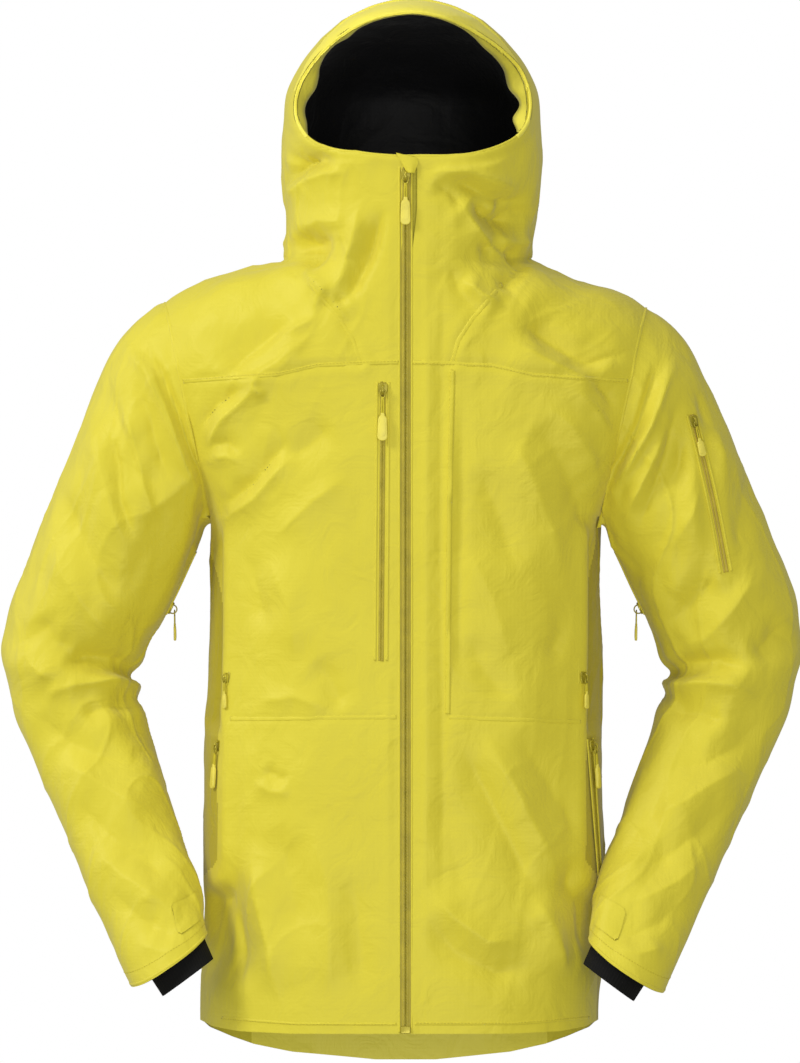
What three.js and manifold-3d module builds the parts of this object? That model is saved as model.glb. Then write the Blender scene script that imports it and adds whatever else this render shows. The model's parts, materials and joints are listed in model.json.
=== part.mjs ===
// A hooded ski shell jacket, built as the panels, zips and fittings that it is sewn from.
//
// Frame: millimetres, +Z up, the front of the jacket faces -Y and +X is the wearer's left.
// The garment is drawn with Z = 0 at the lowest point of its back hem and X = 0 on the front zip.
// The exported group is moved so that its origin is the middle of the hang loop's underside,
// inside the back of the neck, where a hook carries it. The cloth stands as it does on an upright
// figure with the arms a little out. Names such as yoke_right use the wearer's right and left.

import * as THREE from "three";
import { mergeVertices } from "three/addons/utils/BufferGeometryUtils.js";
import Module from "manifold-3d";

const wasm = await Module();
wasm.setup();

// ---- driving dimensions: cloth and body --------------------------------------------------------

const CLOTH = 2; // stands for the shell laminate with its backing and taped seams
const SEAM = 0.5; // space between two panels along a seam
const FIT = 0.35; // space between pieces that lie on each other

// Horizontal slices of body and hood: height, half width, depth behind the middle plane, and
// squareness of the corners. The depth in front of it is set by the straight front edge.
const BODY_SLICES = [
  [-12, 199, 121, 2.7],
  [200, 200, 117, 2.65],
  [345, 198, 113, 2.6],
  [450, 195, 115, 2.6],
  [537, 194, 121, 2.6],
  [547, 195, 122, 2.6],
  [565, 203, 124, 2.6],
  [600, 223, 126, 2.6],
  [650, 247, 126, 2.5],
  [700, 259, 120, 2.35],
  [735, 255, 110, 2.1],
  [757, 241, 101, 1.85],
  [770, 220, 96, 1.75],
  [782, 191, 91, 1.75],
  [792, 154, 88, 1.9],
  [801, 122, 88, 2.1],
  [830, 121, 108, 2.3],
  [865, 128, 132, 2.35],
  [904, 131, 147, 2.35],
  [970, 126, 143, 2.25],
  [1002, 109, 126, 2.2],
  [1024, 91, 104, 2.15],
  [1042, 70, 76, 2.1],
  [1054, 46, 46, 2],
  [1062, 19, 14, 2],
];
const AROUND = 32; // facets around the body
const FRONT_BOTTOM_DEPTH = 138; // the front edge's distance from the middle plane at the hem
const FRONT_TOP_DEPTH = 112; // and at the chin
const RIM_Z = 1040; // the hood's front stands at full depth up to here, then rounds over
const HOOD_SHIFT = 7; // the hood stands this far to the wearer's left
const HOOD_SHIFT_FROM = 790;
const HOOD_SHIFT_TO = 860;

const HEM_FRONT_Z = 31;
const HEM_SIDE_Z = 43;
const HEM_HALF_WIDTH = 200;

// ---- driving dimensions: seams -------------------------------------------------------------------

// In the front view, each point is a distance from the middle and a height.
const SIDE_SEAM_X = 176;
const BACK_SEAM_X = 150;
const YOKE_SEAM = [
  [87, 696],
  [126, 687],
  [167, 687],
  [300, 672],
];
const NECK_SEAM = [
  [46, 698],
  [52, 720],
  [66, 742],
  [97, 778],
  [122, 800],
];
const BACK_YOKE_Z = 690;
const BACK_NECK_Z = 790;
const ARMPIT_FRONT_Z = 521;
const ARMPIT_BACK_Z = 536;
const ARMPIT_RISE = 0.22; // slope of the side panel's top edge

// Face opening of the hood, about its own middle.
const FACE_HALF_WIDTH = 113;
const FACE_TOP_Z = 1046;
const FACE_SIDE_Z = 950;
const CHIN_Z = 905;
const FACE_FACETS = 24;
const BRIM_END_Z = 971;
const BRIM_BACK_DEPTH = 45; // the brim ends this far in front of the middle plane

// The hood tips on a band of loose cloth whose edges slope from the chin down to the nape.
const BAND_SLOPE = Math.atan2(2, 5);
const BAND_HEIGHT = 62;

// ---- driving dimensions: sleeves -----------------------------------------------------------------

// Sleeve slices from armhole to cuff: the inner and the outer edge in the front view (x, z, x, z),
// the depth of the slice's middle, and half its thickness from front to back.
const SLEEVE_SLICES = [
  [195, 547, 240, 757, 5, 74],
  [199, 536, 269, 737, 5, 76],
  [202, 527, 293, 699, 5, 76],
  [206, 517, 317, 647, 6, 75],
  [213, 503, 341, 592, 8, 73],
  [226, 474, 362, 540, 12, 71],
  [242, 442, 381, 493, 18, 69],
  [257, 408, 395, 452, 24, 67],
  [268, 387, 399, 420, 26, 65],
  [263, 376, 396, 392, 24, 62],
  [259, 362, 388, 356, 18, 60],
  [252, 338, 375, 322, 11, 57],
  [240, 300, 355, 276, -6, 54],
  [227, 262, 337, 234, -24, 52],
  [213, 220, 316, 184, -46, 49],
  [201, 178, 296, 138, -68, 46],
  [192, 130, 267, 78, -97, 42],
];
const AROUND_SLEEVE = 16;
const HEAD_END = 2; // up to this slice the cloth gives way as the arm lifts
const UPPER_END = 6; // from this slice to the next it gives way as the elbow bends
const LOWER_START = 11;
const SEAM_STEP = 0.012; // a seam's space, as a share of the distance between slices

const GAITER_SLICES = [
  [208, 176, 284, 144, -70, 39],
  [202, 140, 262, 100, -92, 34],
  [187, 106, 240, 67, -108, 31],
];

// Cuff tab: where it starts and ends along the sleeve, and the facets that it lies on.
const TAB_START = 15.05;
const TAB_END = 15.6;
const TAB_FACETS = [9, 11];
const TAB_THICKNESS = 1.8;

// ---- driving dimensions: zips ----------------------------------------------------------------------

// A zip is drawn in its own frame: it runs down -Z from its top, -Y is outward, and Y = 0 is the
// face of the cloth beside it.
const SLOT_HALF_WIDTH = 6.5;
const TAPE_HALF_WIDTH = SLOT_HALF_WIDTH - SEAM;
const COIL_HALF_WIDTH = 2.8;
const COIL_HEIGHT = 1.6;
const COIL_GAP = 0.3; // between the two halves of the front zip
const SLIDER_HALF_WIDTH = 4.8;
const SLIDER_LENGTH = 12;
const PLATE_THICKNESS = 2;
const FLANGE_THICKNESS = 1.2;
const BOW_LENGTH = 8;
const BOW_HALF_WIDTH = 1.1;
const BOW_HEIGHT = 3.6;
const PIN_RADIUS = 0.7;
const PIN_PLAY = 0.4;
const ARM_WIDTH = 1.2;
const ARM_LENGTH = 7;
const CORD_WIDTH = 2.6;
const PULL_THICKNESS = 2.6;
const TAB_CORNERS = 4; // facets of the tab's round ends
const END_MARGIN = 1; // between a slider and the end of its zip

const MAIN_ZIP_TOP = 892;
const MAIN_ZIP_BOTTOM = 39;
const MAIN_PULL = { length: 48, tabLength: 25, tabWidth: 10 };
const BOX_HEIGHT = 7;
const GARAGE_HEIGHT = 10;

const CHEST_ZIP = { top: [-22.5, 679], bottom: [-24.5, 402] };
const CHEST_PULL = { length: 50, tabLength: 25, tabWidth: 10 };
const HAND_ZIP = { top: [184, 324], bottom: [194, 188] };
const HAND_PULL = { length: 42, tabLength: 22, tabWidth: 9 };
const SIDE_ZIP = { top: [SIDE_SEAM_X, 515], bottom: [SIDE_SEAM_X, 378] };
const VENT_PULL = { length: 30, tabLength: 15, tabWidth: 6 };

// Zips on the sleeve: slice number and angle of each end, in degrees from the outer edge.
const ARM_ZIP = { top: [2.45, -51], bottom: [5.6, -77] };
const ARM_PULL = { length: 35, tabLength: 16, tabWidth: 8 };
const PIT_ZIP = { top: [3.5, 180], bottom: [5.8, 180] };

// ---- driving dimensions: inside -------------------------------------------------------------------

const BAG_CLOTH = 1.2;
const CHEST_BAG = [-125, -34, 505, 650]; // left, right, bottom, top in the front view
const HAND_BAG = [70, 168, 180, 326];
const FLAP_EDGES = [-13, 23]; // the wind flap behind the front zip
const FLAP_Z = [50, 884];
const LINING_GAP = 0.8;
const LINING_CLOTH = 1;
const SKIRT_Z = [150, 262];
const SKIRT_INSET = [20, 7]; // at its bottom and at its top

const LOOP_HALF_LENGTH = 26;
const LOOP_TOP_HALF_LENGTH = 14;
const LOOP_RISE = 14;
const LOOP_RIBBON = 7; // width of the ribbon, front to back
const LOOP_THICKNESS = 1.6;
const LOOP_MIDDLE = [74, 812]; // depth and height of the ribbon's underside, in its middle
const LOOP_BAR_HALF_LENGTH = 33;

const REACH = 400; // past every edge of the jacket

// ---- materials --------------------------------------------------------------------------------------

const shell = new THREE.MeshStandardMaterial({ color: 0xd8cc4b, roughness: 0.62 });
const brimCloth = new THREE.MeshStandardMaterial({ color: 0xe8dc62, roughness: 0.6 });
const zipTape = new THREE.MeshStandardMaterial({ color: 0xa9992a, roughness: 0.55 });
const metal = new THREE.MeshStandardMaterial({ color: 0xb7a832, roughness: 0.35, metalness: 0.6 });
const pullPlastic = new THREE.MeshStandardMaterial({ color: 0xece06a, roughness: 0.45 });
const lining = new THREE.MeshStandardMaterial({ color: 0x101013, roughness: 0.8 });
const gaiterKnit = new THREE.MeshStandardMaterial({ color: 0x17171a, roughness: 0.9 });

// ---- solids ---------------------------------------------------------------------------------------------

// A closed three.js geometry as a manifold-3d solid.
function solid(geometry) {
  const bare = new THREE.BufferGeometry();
  bare.setAttribute("position", geometry.getAttribute("position"));
  bare.setIndex(geometry.getIndex());
  const merged = mergeVertices(bare, 1e-4);
  return new wasm.Manifold(
    new wasm.Mesh({
      numProp: 3,
      vertProperties: merged.attributes.position.array,
      triVerts: new Uint32Array(merged.index.array),
    }),
  );
}

function geometryOf(made) {
  const mesh = made.getMesh();
  const geometry = new THREE.BufferGeometry();
  geometry.setAttribute("position", new THREE.BufferAttribute(mesh.vertProperties, 3));
  geometry.setIndex(new THREE.BufferAttribute(mesh.triVerts, 1));
  geometry.computeVertexNormals();
  return geometry;
}

// A box between two values on each axis, moved by a matrix if one is given.
function box(x0, x1, y0, y1, z0, z1, matrix = new THREE.Matrix4()) {
  const geometry = new THREE.BoxGeometry(x1 - x0, y1 - y0, z1 - z0);
  geometry.translate((x0 + x1) / 2, (y0 + y1) / 2, (z0 + z1) / 2);
  return solid(geometry.applyMatrix4(matrix));
}

// A closed loft through rings of points, with a flat fan at each end.
function loft(rings) {
  const count = rings[0].length;
  const points = rings.flat();
  const index = [];
  for (let r = 0; r + 1 < rings.length; r++)
    for (let i = 0; i < count; i++) {
      const [a, b] = [r * count + i, r * count + ((i + 1) % count)];
      index.push(a, b, b + count, a, b + count, a + count);
    }
  for (const r of [0, rings.length - 1]) {
    const middle = points.length;
    points.push(rings[r].reduce((sum, p) => sum.add(p), new THREE.Vector3()).divideScalar(count));
    for (let i = 0; i < count; i++) {
      const [a, b] = [r * count + i, r * count + ((i + 1) % count)];
      index.push(middle, r ? a : b, r ? b : a);
    }
  }
  const flat = points.flatMap((p) => p.toArray());
  const shape = (order) => {
    const geometry = new THREE.BufferGeometry();
    geometry.setAttribute("position", new THREE.Float32BufferAttribute(flat, 3));
    geometry.setIndex(order);
    return solid(geometry);
  };
  const made = shape(index);
  return made.volume() > 0 ? made : shape([...index].reverse());
}

// A solid whose outline in the front view is a list of points, between two depths.
function prism(outline, y0, y1) {
  const shape = new THREE.Shape(outline.map(([x, z]) => new THREE.Vector2(x, z)));
  const geometry = new THREE.ExtrudeGeometry(shape, { depth: y1 - y0, bevelEnabled: false });
  return solid(geometry.rotateX(Math.PI / 2).translate(0, y1, 0));
}

// An outline drawn for the wearer's left, on either side of the jacket.
const onSide = (outline, side) => outline.map(([x, z]) => [side * x, z]);
const bothSides = (outline) => [...outline, ...onSide(outline, -1).reverse()];
const moved = (outline, dx, dz) => outline.map(([x, z]) => [x + dx, z + dz]);

// ---- body and hood ------------------------------------------------------------------------------------

const frontDepth = (z) =>
  THREE.MathUtils.mapLinear(z, HEM_FRONT_Z, CHIN_Z, FRONT_BOTTOM_DEPTH, FRONT_TOP_DEPTH);

const hoodTop = BODY_SLICES[BODY_SLICES.length - 1][0];

// The share of the front's full depth that is left where the crown rounds over.
function crownShare(z) {
  const rise = Math.max(0, (z - RIM_Z) / (hoodTop + 1 - RIM_Z));
  return Math.sqrt(1 - rise * rise);
}

function bodySlice(z) {
  const i = Math.max(1, BODY_SLICES.findIndex((row) => row[0] >= z));
  const [low, high] = [BODY_SLICES[i - 1], BODY_SLICES[i]];
  const share = (z - low[0]) / (high[0] - low[0]);
  return low.map((value, k) => THREE.MathUtils.lerp(value, high[k], share));
}

function bodyPoint([z, halfWidth, back, square], angle, inset = 0) {
  const round = (v) => Math.sign(v) * Math.abs(v) ** (2 / square);
  const front = frontDepth(z) * crownShare(Math.min(z, hoodTop));
  const shift = HOOD_SHIFT * THREE.MathUtils.smoothstep(z, HOOD_SHIFT_FROM, HOOD_SHIFT_TO);
  return new THREE.Vector3(
    shift + (halfWidth - inset) * round(Math.cos(angle)),
    ((Math.sin(angle) < 0 ? front : back) - inset) * round(Math.sin(angle)),
    z,
  );
}

function body(inset) {
  const rings = BODY_SLICES.map((row, i) => {
    const slice = [...row];
    if (i === 0 || i === BODY_SLICES.length - 1) slice[0] -= inset;
    const ring = [];
    for (let k = 0; k < AROUND; k++) {
      const angle = (2 * Math.PI * (k + 0.5)) / AROUND;
      ring.push(bodyPoint(slice, angle, Math.min(inset, 0.6 * row[2])));
    }
    return ring;
  });
  return loft(rings);
}

// The cloth between two distances inside the jacket's outer surface.
const layer = (outside, inside) => body(outside).subtract(body(inside));

// A point on the front of the body, and the direction that its cloth faces there.
function onBody([x, z]) {
  const slice = bodySlice(z);
  const share = Math.abs(x) / slice[1];
  const angle = -Math.acos(share ** (slice[3] / 2));
  const mirror = Math.sign(x);
  const at = (turn) => {
    const p = bodyPoint(slice, turn);
    return new THREE.Vector3(mirror * p.x, p.y, p.z);
  };
  const along = at(angle + 0.02).sub(at(angle - 0.02)).normalize();
  const out = new THREE.Vector3(along.y, -along.x, 0).multiplyScalar(mirror);
  return { point: at(angle), out };
}

// Half of space above a plane that slopes up to the front, through the chin at the given rise.
function aboveBand(rise) {
  const through = CHIN_Z * Math.cos(BAND_SLOPE) - FRONT_TOP_DEPTH * Math.sin(BAND_SLOPE) + rise;
  const slab = new THREE.BoxGeometry(2 * REACH, 4 * REACH, 2 * REACH);
  return solid(slab.translate(0, 0, REACH + through).rotateX(-BAND_SLOPE));
}

// ---- sleeves ---------------------------------------------------------------------------------------------

function sliceAt(slices, n) {
  const low = Math.min(Math.max(0, Math.floor(n)), slices.length - 2);
  return slices[low].map((value, k) => THREE.MathUtils.lerp(value, slices[low + 1][k], n - low));
}

// A point of a sleeve or gaiter; angle 0 is its outer edge and a quarter turn is its back.
function sleevePoint([inX, inZ, outX, outZ, depth, half], angle, inset, side) {
  const across = Math.cos(angle) * (1 - (2 * inset) / Math.hypot(outX - inX, outZ - inZ));
  return new THREE.Vector3(
    (side * (inX + outX + (outX - inX) * across)) / 2,
    depth + (half - inset) * Math.sin(angle),
    (inZ + outZ + (outZ - inZ) * across) / 2,
  );
}

function tube(slices, inset, side) {
  return loft(
    slices.map((slice) => {
      const ring = [];
      for (let i = 0; i < AROUND_SLEEVE; i++)
        ring.push(sleevePoint(slice, (2 * Math.PI * i) / AROUND_SLEEVE, inset, side));
      return ring;
    }),
  );
}

// A tube of cloth between two slice numbers, open at both ends.
function clothTube(slices, first, last, side) {
  const run = [sliceAt(slices, first)];
  for (let n = Math.floor(first) + 1; n < last; n++) run.push(slices[n]);
  run.push(sliceAt(slices, last));
  const stretched = run.map((slice) => [...slice]);
  const stretch = (end, next) => {
    for (let k = 0; k < 5; k++) end[k] += 0.2 * (end[k] - next[k]);
  };
  stretch(stretched[0], run[1]);
  stretch(stretched[stretched.length - 1], run[run.length - 2]);
  return tube(run, 0, side).subtract(tube(stretched, CLOTH, side));
}

// A point on the sleeve for one end of a zip.
function onSleeve([n, degrees], side) {
  const angle = THREE.MathUtils.degToRad(degrees);
  const slice = sliceAt(SLEEVE_SLICES, n);
  const point = sleevePoint(slice, angle, 0, side);
  const around = sleevePoint(slice, angle + 0.02, 0, side).sub(sleevePoint(slice, angle - 0.02, 0, side));
  const along = sleevePoint(sliceAt(SLEEVE_SLICES, n + 0.1), angle, 0, side).sub(point);
  return { point, out: along.cross(around).multiplyScalar(side).normalize() };
}

// The space that a sleeve takes from the body panels.
function armhole(side) {
  const [inX, inZ, outX, outZ] = SLEEVE_SLICES[0];
  const [dx, dz] = [outX - inX, outZ - inZ];
  const outline = [
    [inX - SEAM, inZ - SEAM],
    [REACH, inZ - SEAM],
    [REACH, outZ + dz],
    [outX + dx - SEAM, outZ + dz],
  ];
  return prism(onSide(outline, side), -REACH, REACH);
}

// ---- zips ---------------------------------------------------------------------------------------------------

// The frame of a zip that runs between two points of the cloth.
function zipFrame(top, bottom) {
  const z = top.point.clone().sub(bottom.point).normalize();
  const inward = top.out.clone().add(bottom.out).negate();
  const x = inward.cross(z).normalize();
  const y = z.clone().cross(x);
  const matrix = new THREE.Matrix4().makeBasis(x, y, z).setPosition(top.point);
  return { matrix, length: top.point.distanceTo(bottom.point) };
}

const zipSlot = ({ matrix, length }) =>
  box(-SLOT_HALF_WIDTH, SLOT_HALF_WIDTH, -20, 20, -length - SEAM, SEAM, matrix);

// Tape and coil between two places across the zip.
function zipStrip(length, x0, x1) {
  const coil = Math.abs(x0) > COIL_HALF_WIDTH ? -COIL_HALF_WIDTH : x0;
  const coilEnd = Math.abs(x1) > COIL_HALF_WIDTH ? COIL_HALF_WIDTH : x1;
  return box(x0, x1, 0, CLOTH, -length, 0).add(box(coil, coilEnd, -COIL_HEIGHT, 0.5, -length, 0));
}

const plateBack = -COIL_HEIGHT - FIT;
const plateFront = plateBack - PLATE_THICKNESS;
const holeRadius = PIN_RADIUS + PIN_PLAY;
const pinY = plateFront - BOW_HEIGHT + holeRadius + 0.7;
const pinZ = -SLIDER_LENGTH / 2 - 1;

function alongX(radius, x0, x1, y, z) {
  const rod = new THREE.CylinderGeometry(radius, radius, x1 - x0, 6).rotateZ(Math.PI / 2);
  return solid(rod.translate((x0 + x1) / 2, y, z));
}

// The slider's front half: a plate with a flange on each side of the coil, and a bow.
function slider() {
  const w = SLIDER_HALF_WIDTH;
  const corner = 1.8;
  const outline = [
    [-w, -corner],
    [-w + corner, 0],
    [w - corner, 0],
    [w, -corner],
    [w - 1, -SLIDER_LENGTH],
    [-w + 1, -SLIDER_LENGTH],
  ];
  let made = prism(outline, plateFront, plateBack);
  for (const side of [-1, 1]) {
    const near = side * (w - 0.4);
    const far = side * (w - 0.4 - FLANGE_THICKNESS);
    const [x0, x1] = [Math.min(near, far), Math.max(near, far)];
    made = made.add(box(x0, x1, plateBack - 0.1, -FIT, -SLIDER_LENGTH / 2, -corner));
  }
  const bowLow = pinZ - BOW_LENGTH / 2;
  made = made.add(
    box(-BOW_HALF_WIDTH, BOW_HALF_WIDTH, plateFront - BOW_HEIGHT, plateFront + 0.1, bowLow, bowLow + BOW_LENGTH),
  );
  return made.subtract(alongX(holeRadius, -3, 3, pinY, pinZ));
}

// The pull, drawn about its pin: a wire yoke, a cord and a moulded tab.
function pull({ length, tabLength, tabWidth }) {
  const inner = BOW_HALF_WIDTH + PIN_PLAY;
  const outer = inner + ARM_WIDTH;
  const r = PIN_RADIUS;
  let made = alongX(r, -outer, outer, 0, 0);
  for (const [x0, x1] of [[-outer, -inner], [inner, outer]])
    made = made.add(box(x0, x1, -r, r, -ARM_LENGTH, r));
  made = made.add(box(-outer, outer, -r, r, -ARM_LENGTH - 1.6, -ARM_LENGTH + 0.1));
  const tabTop = tabLength - length;
  made = made.add(box(-CORD_WIDTH / 2, CORD_WIDTH / 2, -r, r, tabTop - 1, -ARM_LENGTH - 1.5));
  const end = tabWidth / 2;
  const outline = [];
  for (const [middle, start] of [[tabTop - end, 0], [-length + end, Math.PI]])
    for (let i = 0; i <= TAB_CORNERS; i++) {
      const angle = start + (Math.PI * i) / TAB_CORNERS;
      outline.push([end * Math.cos(angle), middle + end * Math.sin(angle)]);
    }
  return made.add(prism(outline, -PULL_THICKNESS / 2, PULL_THICKNESS / 2));
}

// ---- assembly -------------------------------------------------------------------------------------------------

const jacket = new THREE.Group();

function put(name, made, material, parent = jacket) {
  const mesh = new THREE.Mesh(geometryOf(made), material);
  mesh.name = name;
  parent.add(mesh);
  return mesh;
}

// A zip with its slider and pull. The slider waits at the top or at the bottom, and hang is how
// far in degrees the pull stands off the tape to hang plumb.
function putZip(name, frame, pullSize, { atBottom = false, hang = 0, halves = false } = {}) {
  const group = new THREE.Group();
  frame.matrix.decompose(group.position, group.quaternion, group.scale);
  jacket.add(group);
  if (halves) {
    put(`${name}_right`, zipStrip(frame.length, -TAPE_HALF_WIDTH, -COIL_GAP / 2), zipTape, group);
    put(`${name}_left`, zipStrip(frame.length, COIL_GAP / 2, TAPE_HALF_WIDTH), zipTape, group);
  } else {
    put(name, zipStrip(frame.length, -TAPE_HALF_WIDTH, TAPE_HALF_WIDTH), zipTape, group);
  }
  const rest = atBottom ? SLIDER_LENGTH + END_MARGIN - frame.length : -END_MARGIN;
  put(`${name}_slider`, slider(), metal, group).position.z = rest;
  const hanging = put(`${name}_pull`, pull(pullSize), pullPlastic, group);
  hanging.position.set(0, pinY, rest + pinZ);
  hanging.rotation.x = THREE.MathUtils.degToRad(-hang);
  return group;
}

// Zip frames come first, because the panels are cut for them.
const frontLine = (z) => ({
  point: new THREE.Vector3(0, -frontDepth(z), z),
  out: new THREE.Vector3(0, -1, 0),
});
const mainZip = zipFrame(frontLine(MAIN_ZIP_TOP), frontLine(MAIN_ZIP_BOTTOM));
const chestZip = zipFrame(onBody(CHEST_ZIP.top), onBody(CHEST_ZIP.bottom));
const bodyZip = ({ top, bottom }, side) =>
  zipFrame(onBody([side * top[0], top[1]]), onBody([side * bottom[0], bottom[1]]));
const sleeveZip = ({ top, bottom }, side) => zipFrame(onSleeve(top, side), onSleeve(bottom, side));

const half = SEAM / 2;

function hem(front) {
  const outline = [[-REACH, -REACH]];
  for (let x = -1.1; x < 1.11; x += 0.2) {
    const share = Math.min(1, Math.abs(x));
    const z = front
      ? HEM_FRONT_Z + (HEM_SIDE_Z - HEM_FRONT_Z) * share ** 2
      : HEM_SIDE_Z * share ** 2.2;
    outline.push([x * HEM_HALF_WIDTH, z]);
  }
  outline.push([REACH, -REACH]);
  return front ? prism(outline, -REACH, 0) : prism(outline, 0, REACH);
}

let cloth = layer(0, CLOTH)
  .subtract(hem(true))
  .subtract(hem(false))
  .subtract(armhole(-1))
  .subtract(armhole(1))
  .subtract(zipSlot(chestZip))
  .subtract(zipSlot({ matrix: mainZip.matrix, length: 2 * MAIN_ZIP_TOP }))
  .subtract(box(-SLOT_HALF_WIDTH, SLOT_HALF_WIDTH, -REACH, -FACE_HALF_WIDTH / 2, MAIN_ZIP_TOP - 1, CHIN_Z + 20));

const sides = [
  [-1, "right"],
  [1, "left"],
];
for (const [side] of sides)
  for (const zip of [HAND_ZIP, SIDE_ZIP]) cloth = cloth.subtract(zipSlot(bodyZip(zip, side)));

const armpitTop = (x, z) => [
  [x, z],
  [REACH, z + ARMPIT_RISE * (REACH - x)],
];

for (const [side, name] of sides) {
  // Front panel, from the zip to the side seam and up to the yoke.
  const front = [
    [0, -REACH],
    [SIDE_SEAM_X - half, -REACH],
    ...moved(armpitTop(SIDE_SEAM_X - half, ARMPIT_FRONT_Z), 0, SEAM),
    ...moved(YOKE_SEAM, 0, -half).reverse(),
    [NECK_SEAM[0][0], NECK_SEAM[0][1] - half],
    [0, NECK_SEAM[0][1] - half],
  ];
  put(`front_panel_${name}`, cloth.intersect(prism(onSide(front, side), -REACH, -half)), shell);

  // Side panel, below the arm.
  const below = (x, z) => [[x, -REACH], [REACH, -REACH], ...armpitTop(x, z).reverse()];
  const sideFront = prism(onSide(below(SIDE_SEAM_X + half, ARMPIT_FRONT_Z), side), -REACH, 0);
  const sideBack = prism(onSide(below(BACK_SEAM_X + half, ARMPIT_BACK_Z), side), 0, REACH);
  put(`side_panel_${name}`, cloth.intersect(sideFront.add(sideBack)), shell);

  // Yoke, over the shoulder.
  const yokeFront = [
    ...moved(NECK_SEAM, half, -half).slice(1).reverse(),
    ...moved([NECK_SEAM[0], ...YOKE_SEAM], half, half),
    [REACH, YOKE_SEAM[3][1]],
    [REACH, NECK_SEAM[4][1] - half],
  ];
  const middle = side > 0 ? half : -half;
  const yokeBack = [
    [side * middle, BACK_YOKE_Z + half],
    [REACH, BACK_YOKE_Z + half],
    [REACH, NECK_SEAM[4][1] - half],
    [NECK_SEAM[4][0], NECK_SEAM[4][1] - half],
    [side * middle, BACK_NECK_Z - half],
  ];
  const over = prism(onSide(yokeFront, side), -REACH, 0).add(prism(onSide(yokeBack, side), 0, REACH));
  put(`yoke_${name}`, cloth.intersect(over), shell);
}

const backOutline = bothSides([
  [BACK_SEAM_X - half, -REACH],
  ...moved(armpitTop(BACK_SEAM_X - half, ARMPIT_BACK_Z), 0, SEAM),
  [REACH, BACK_YOKE_Z - half],
]);
put("back_panel", cloth.intersect(prism(backOutline, half, REACH)), shell);

// Hood: collar, loose band, crown and brim.
const faceOutline = [];
for (let i = 0; i < FACE_FACETS; i++) {
  const angle = (2 * Math.PI * i) / FACE_FACETS;
  const [c, s] = [Math.cos(angle), Math.sin(angle)];
  const height = s > 0 ? FACE_TOP_Z - FACE_SIDE_Z : FACE_SIDE_Z - CHIN_Z;
  faceOutline.push([
    HOOD_SHIFT + FACE_HALF_WIDTH * Math.sign(c) * Math.abs(c) ** 0.8,
    FACE_SIDE_Z + height * s,
  ]);
}
const faceOpening = prism(faceOutline, -REACH, 5);
const aboveNeck = prism(
  bothSides([...moved(NECK_SEAM, -half, half), [REACH, NECK_SEAM[4][1] + half], [REACH, 2 * REACH + 600]]),
  -REACH,
  0,
).add(
  prism(
    bothSides([
      [NECK_SEAM[4][0], NECK_SEAM[4][1] + half],
      [REACH, NECK_SEAM[4][1] + half],
      [REACH, 2 * REACH + 600],
    ]).concat([[0, BACK_NECK_Z + half]]),
    0,
    REACH,
  ),
);
const hood = cloth.intersect(aboveNeck).subtract(faceOpening);
const brimSpace = (grow) =>
  box(-REACH, REACH, -REACH, -BRIM_BACK_DEPTH + grow, BRIM_END_Z - grow, 2 * REACH + 600);
put("collar", hood.subtract(aboveBand(-half)), shell);
put("hood_band", hood.intersect(aboveBand(half)).subtract(aboveBand(BAND_HEIGHT - half)).subtract(brimSpace(SEAM)), shell);
put("hood_crown", hood.intersect(aboveBand(BAND_HEIGHT + half)).subtract(brimSpace(SEAM)), shell);
put("hood_brim", hood.intersect(aboveBand(half)).intersect(brimSpace(0)), brimCloth);
const liningOut = CLOTH + LINING_GAP;
put(
  "hood_lining",
  layer(liningOut, liningOut + LINING_CLOTH).intersect(aboveBand(BAND_HEIGHT + 2)).subtract(faceOpening),
  lining,
);

// Inside: pocket bags, wind flap, powder skirt and hang loop.
const inside = layer(CLOTH + FIT, CLOTH + FIT + BAG_CLOTH);
const window = ([x0, x1, z0, z1], side = 1) =>
  box(Math.min(side * x0, side * x1), Math.max(side * x0, side * x1), -REACH, -1, z0, z1);
put("chest_pocket_bag", inside.intersect(window(CHEST_BAG)), lining);
put("wind_flap", inside.intersect(window([...FLAP_EDGES, ...FLAP_Z])), shell);
for (const [side, name] of sides)
  put(`hand_pocket_bag_${name}`, inside.intersect(window(HAND_BAG, side)), lining);

const skirtRings = (extra) =>
  [0, 1].map((end) => {
    const slice = bodySlice(SKIRT_Z[end]);
    slice[0] += extra ? (end ? 1 : -1) : 0;
    const ring = [];
    for (let k = 0; k < AROUND; k++)
      ring.push(bodyPoint(slice, (2 * Math.PI * (k + 0.5)) / AROUND, SKIRT_INSET[end] + extra));
    return ring;
  });
put("powder_skirt", loft(skirtRings(0)).subtract(loft(skirtRings(BAG_CLOTH))), lining);

const [loopDepth, loopZ] = LOOP_MIDDLE;
const loopTop = LOOP_THICKNESS;
const arch = bothSides([
  [LOOP_TOP_HALF_LENGTH, 0],
  [LOOP_HALF_LENGTH - LOOP_THICKNESS, -LOOP_RISE],
  [LOOP_HALF_LENGTH, -LOOP_RISE],
  [LOOP_TOP_HALF_LENGTH + 1, loopTop],
]);
const loopBar = box(
  -LOOP_BAR_HALF_LENGTH,
  LOOP_BAR_HALF_LENGTH,
  -LOOP_RIBBON / 2,
  LOOP_RIBBON / 2,
  -LOOP_RISE - LOOP_THICKNESS,
  -LOOP_RISE + 0.1,
);
put("hang_loop", prism(arch, -LOOP_RIBBON / 2, LOOP_RIBBON / 2).add(loopBar), zipTape).position.set(0, loopDepth, loopZ);

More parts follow.
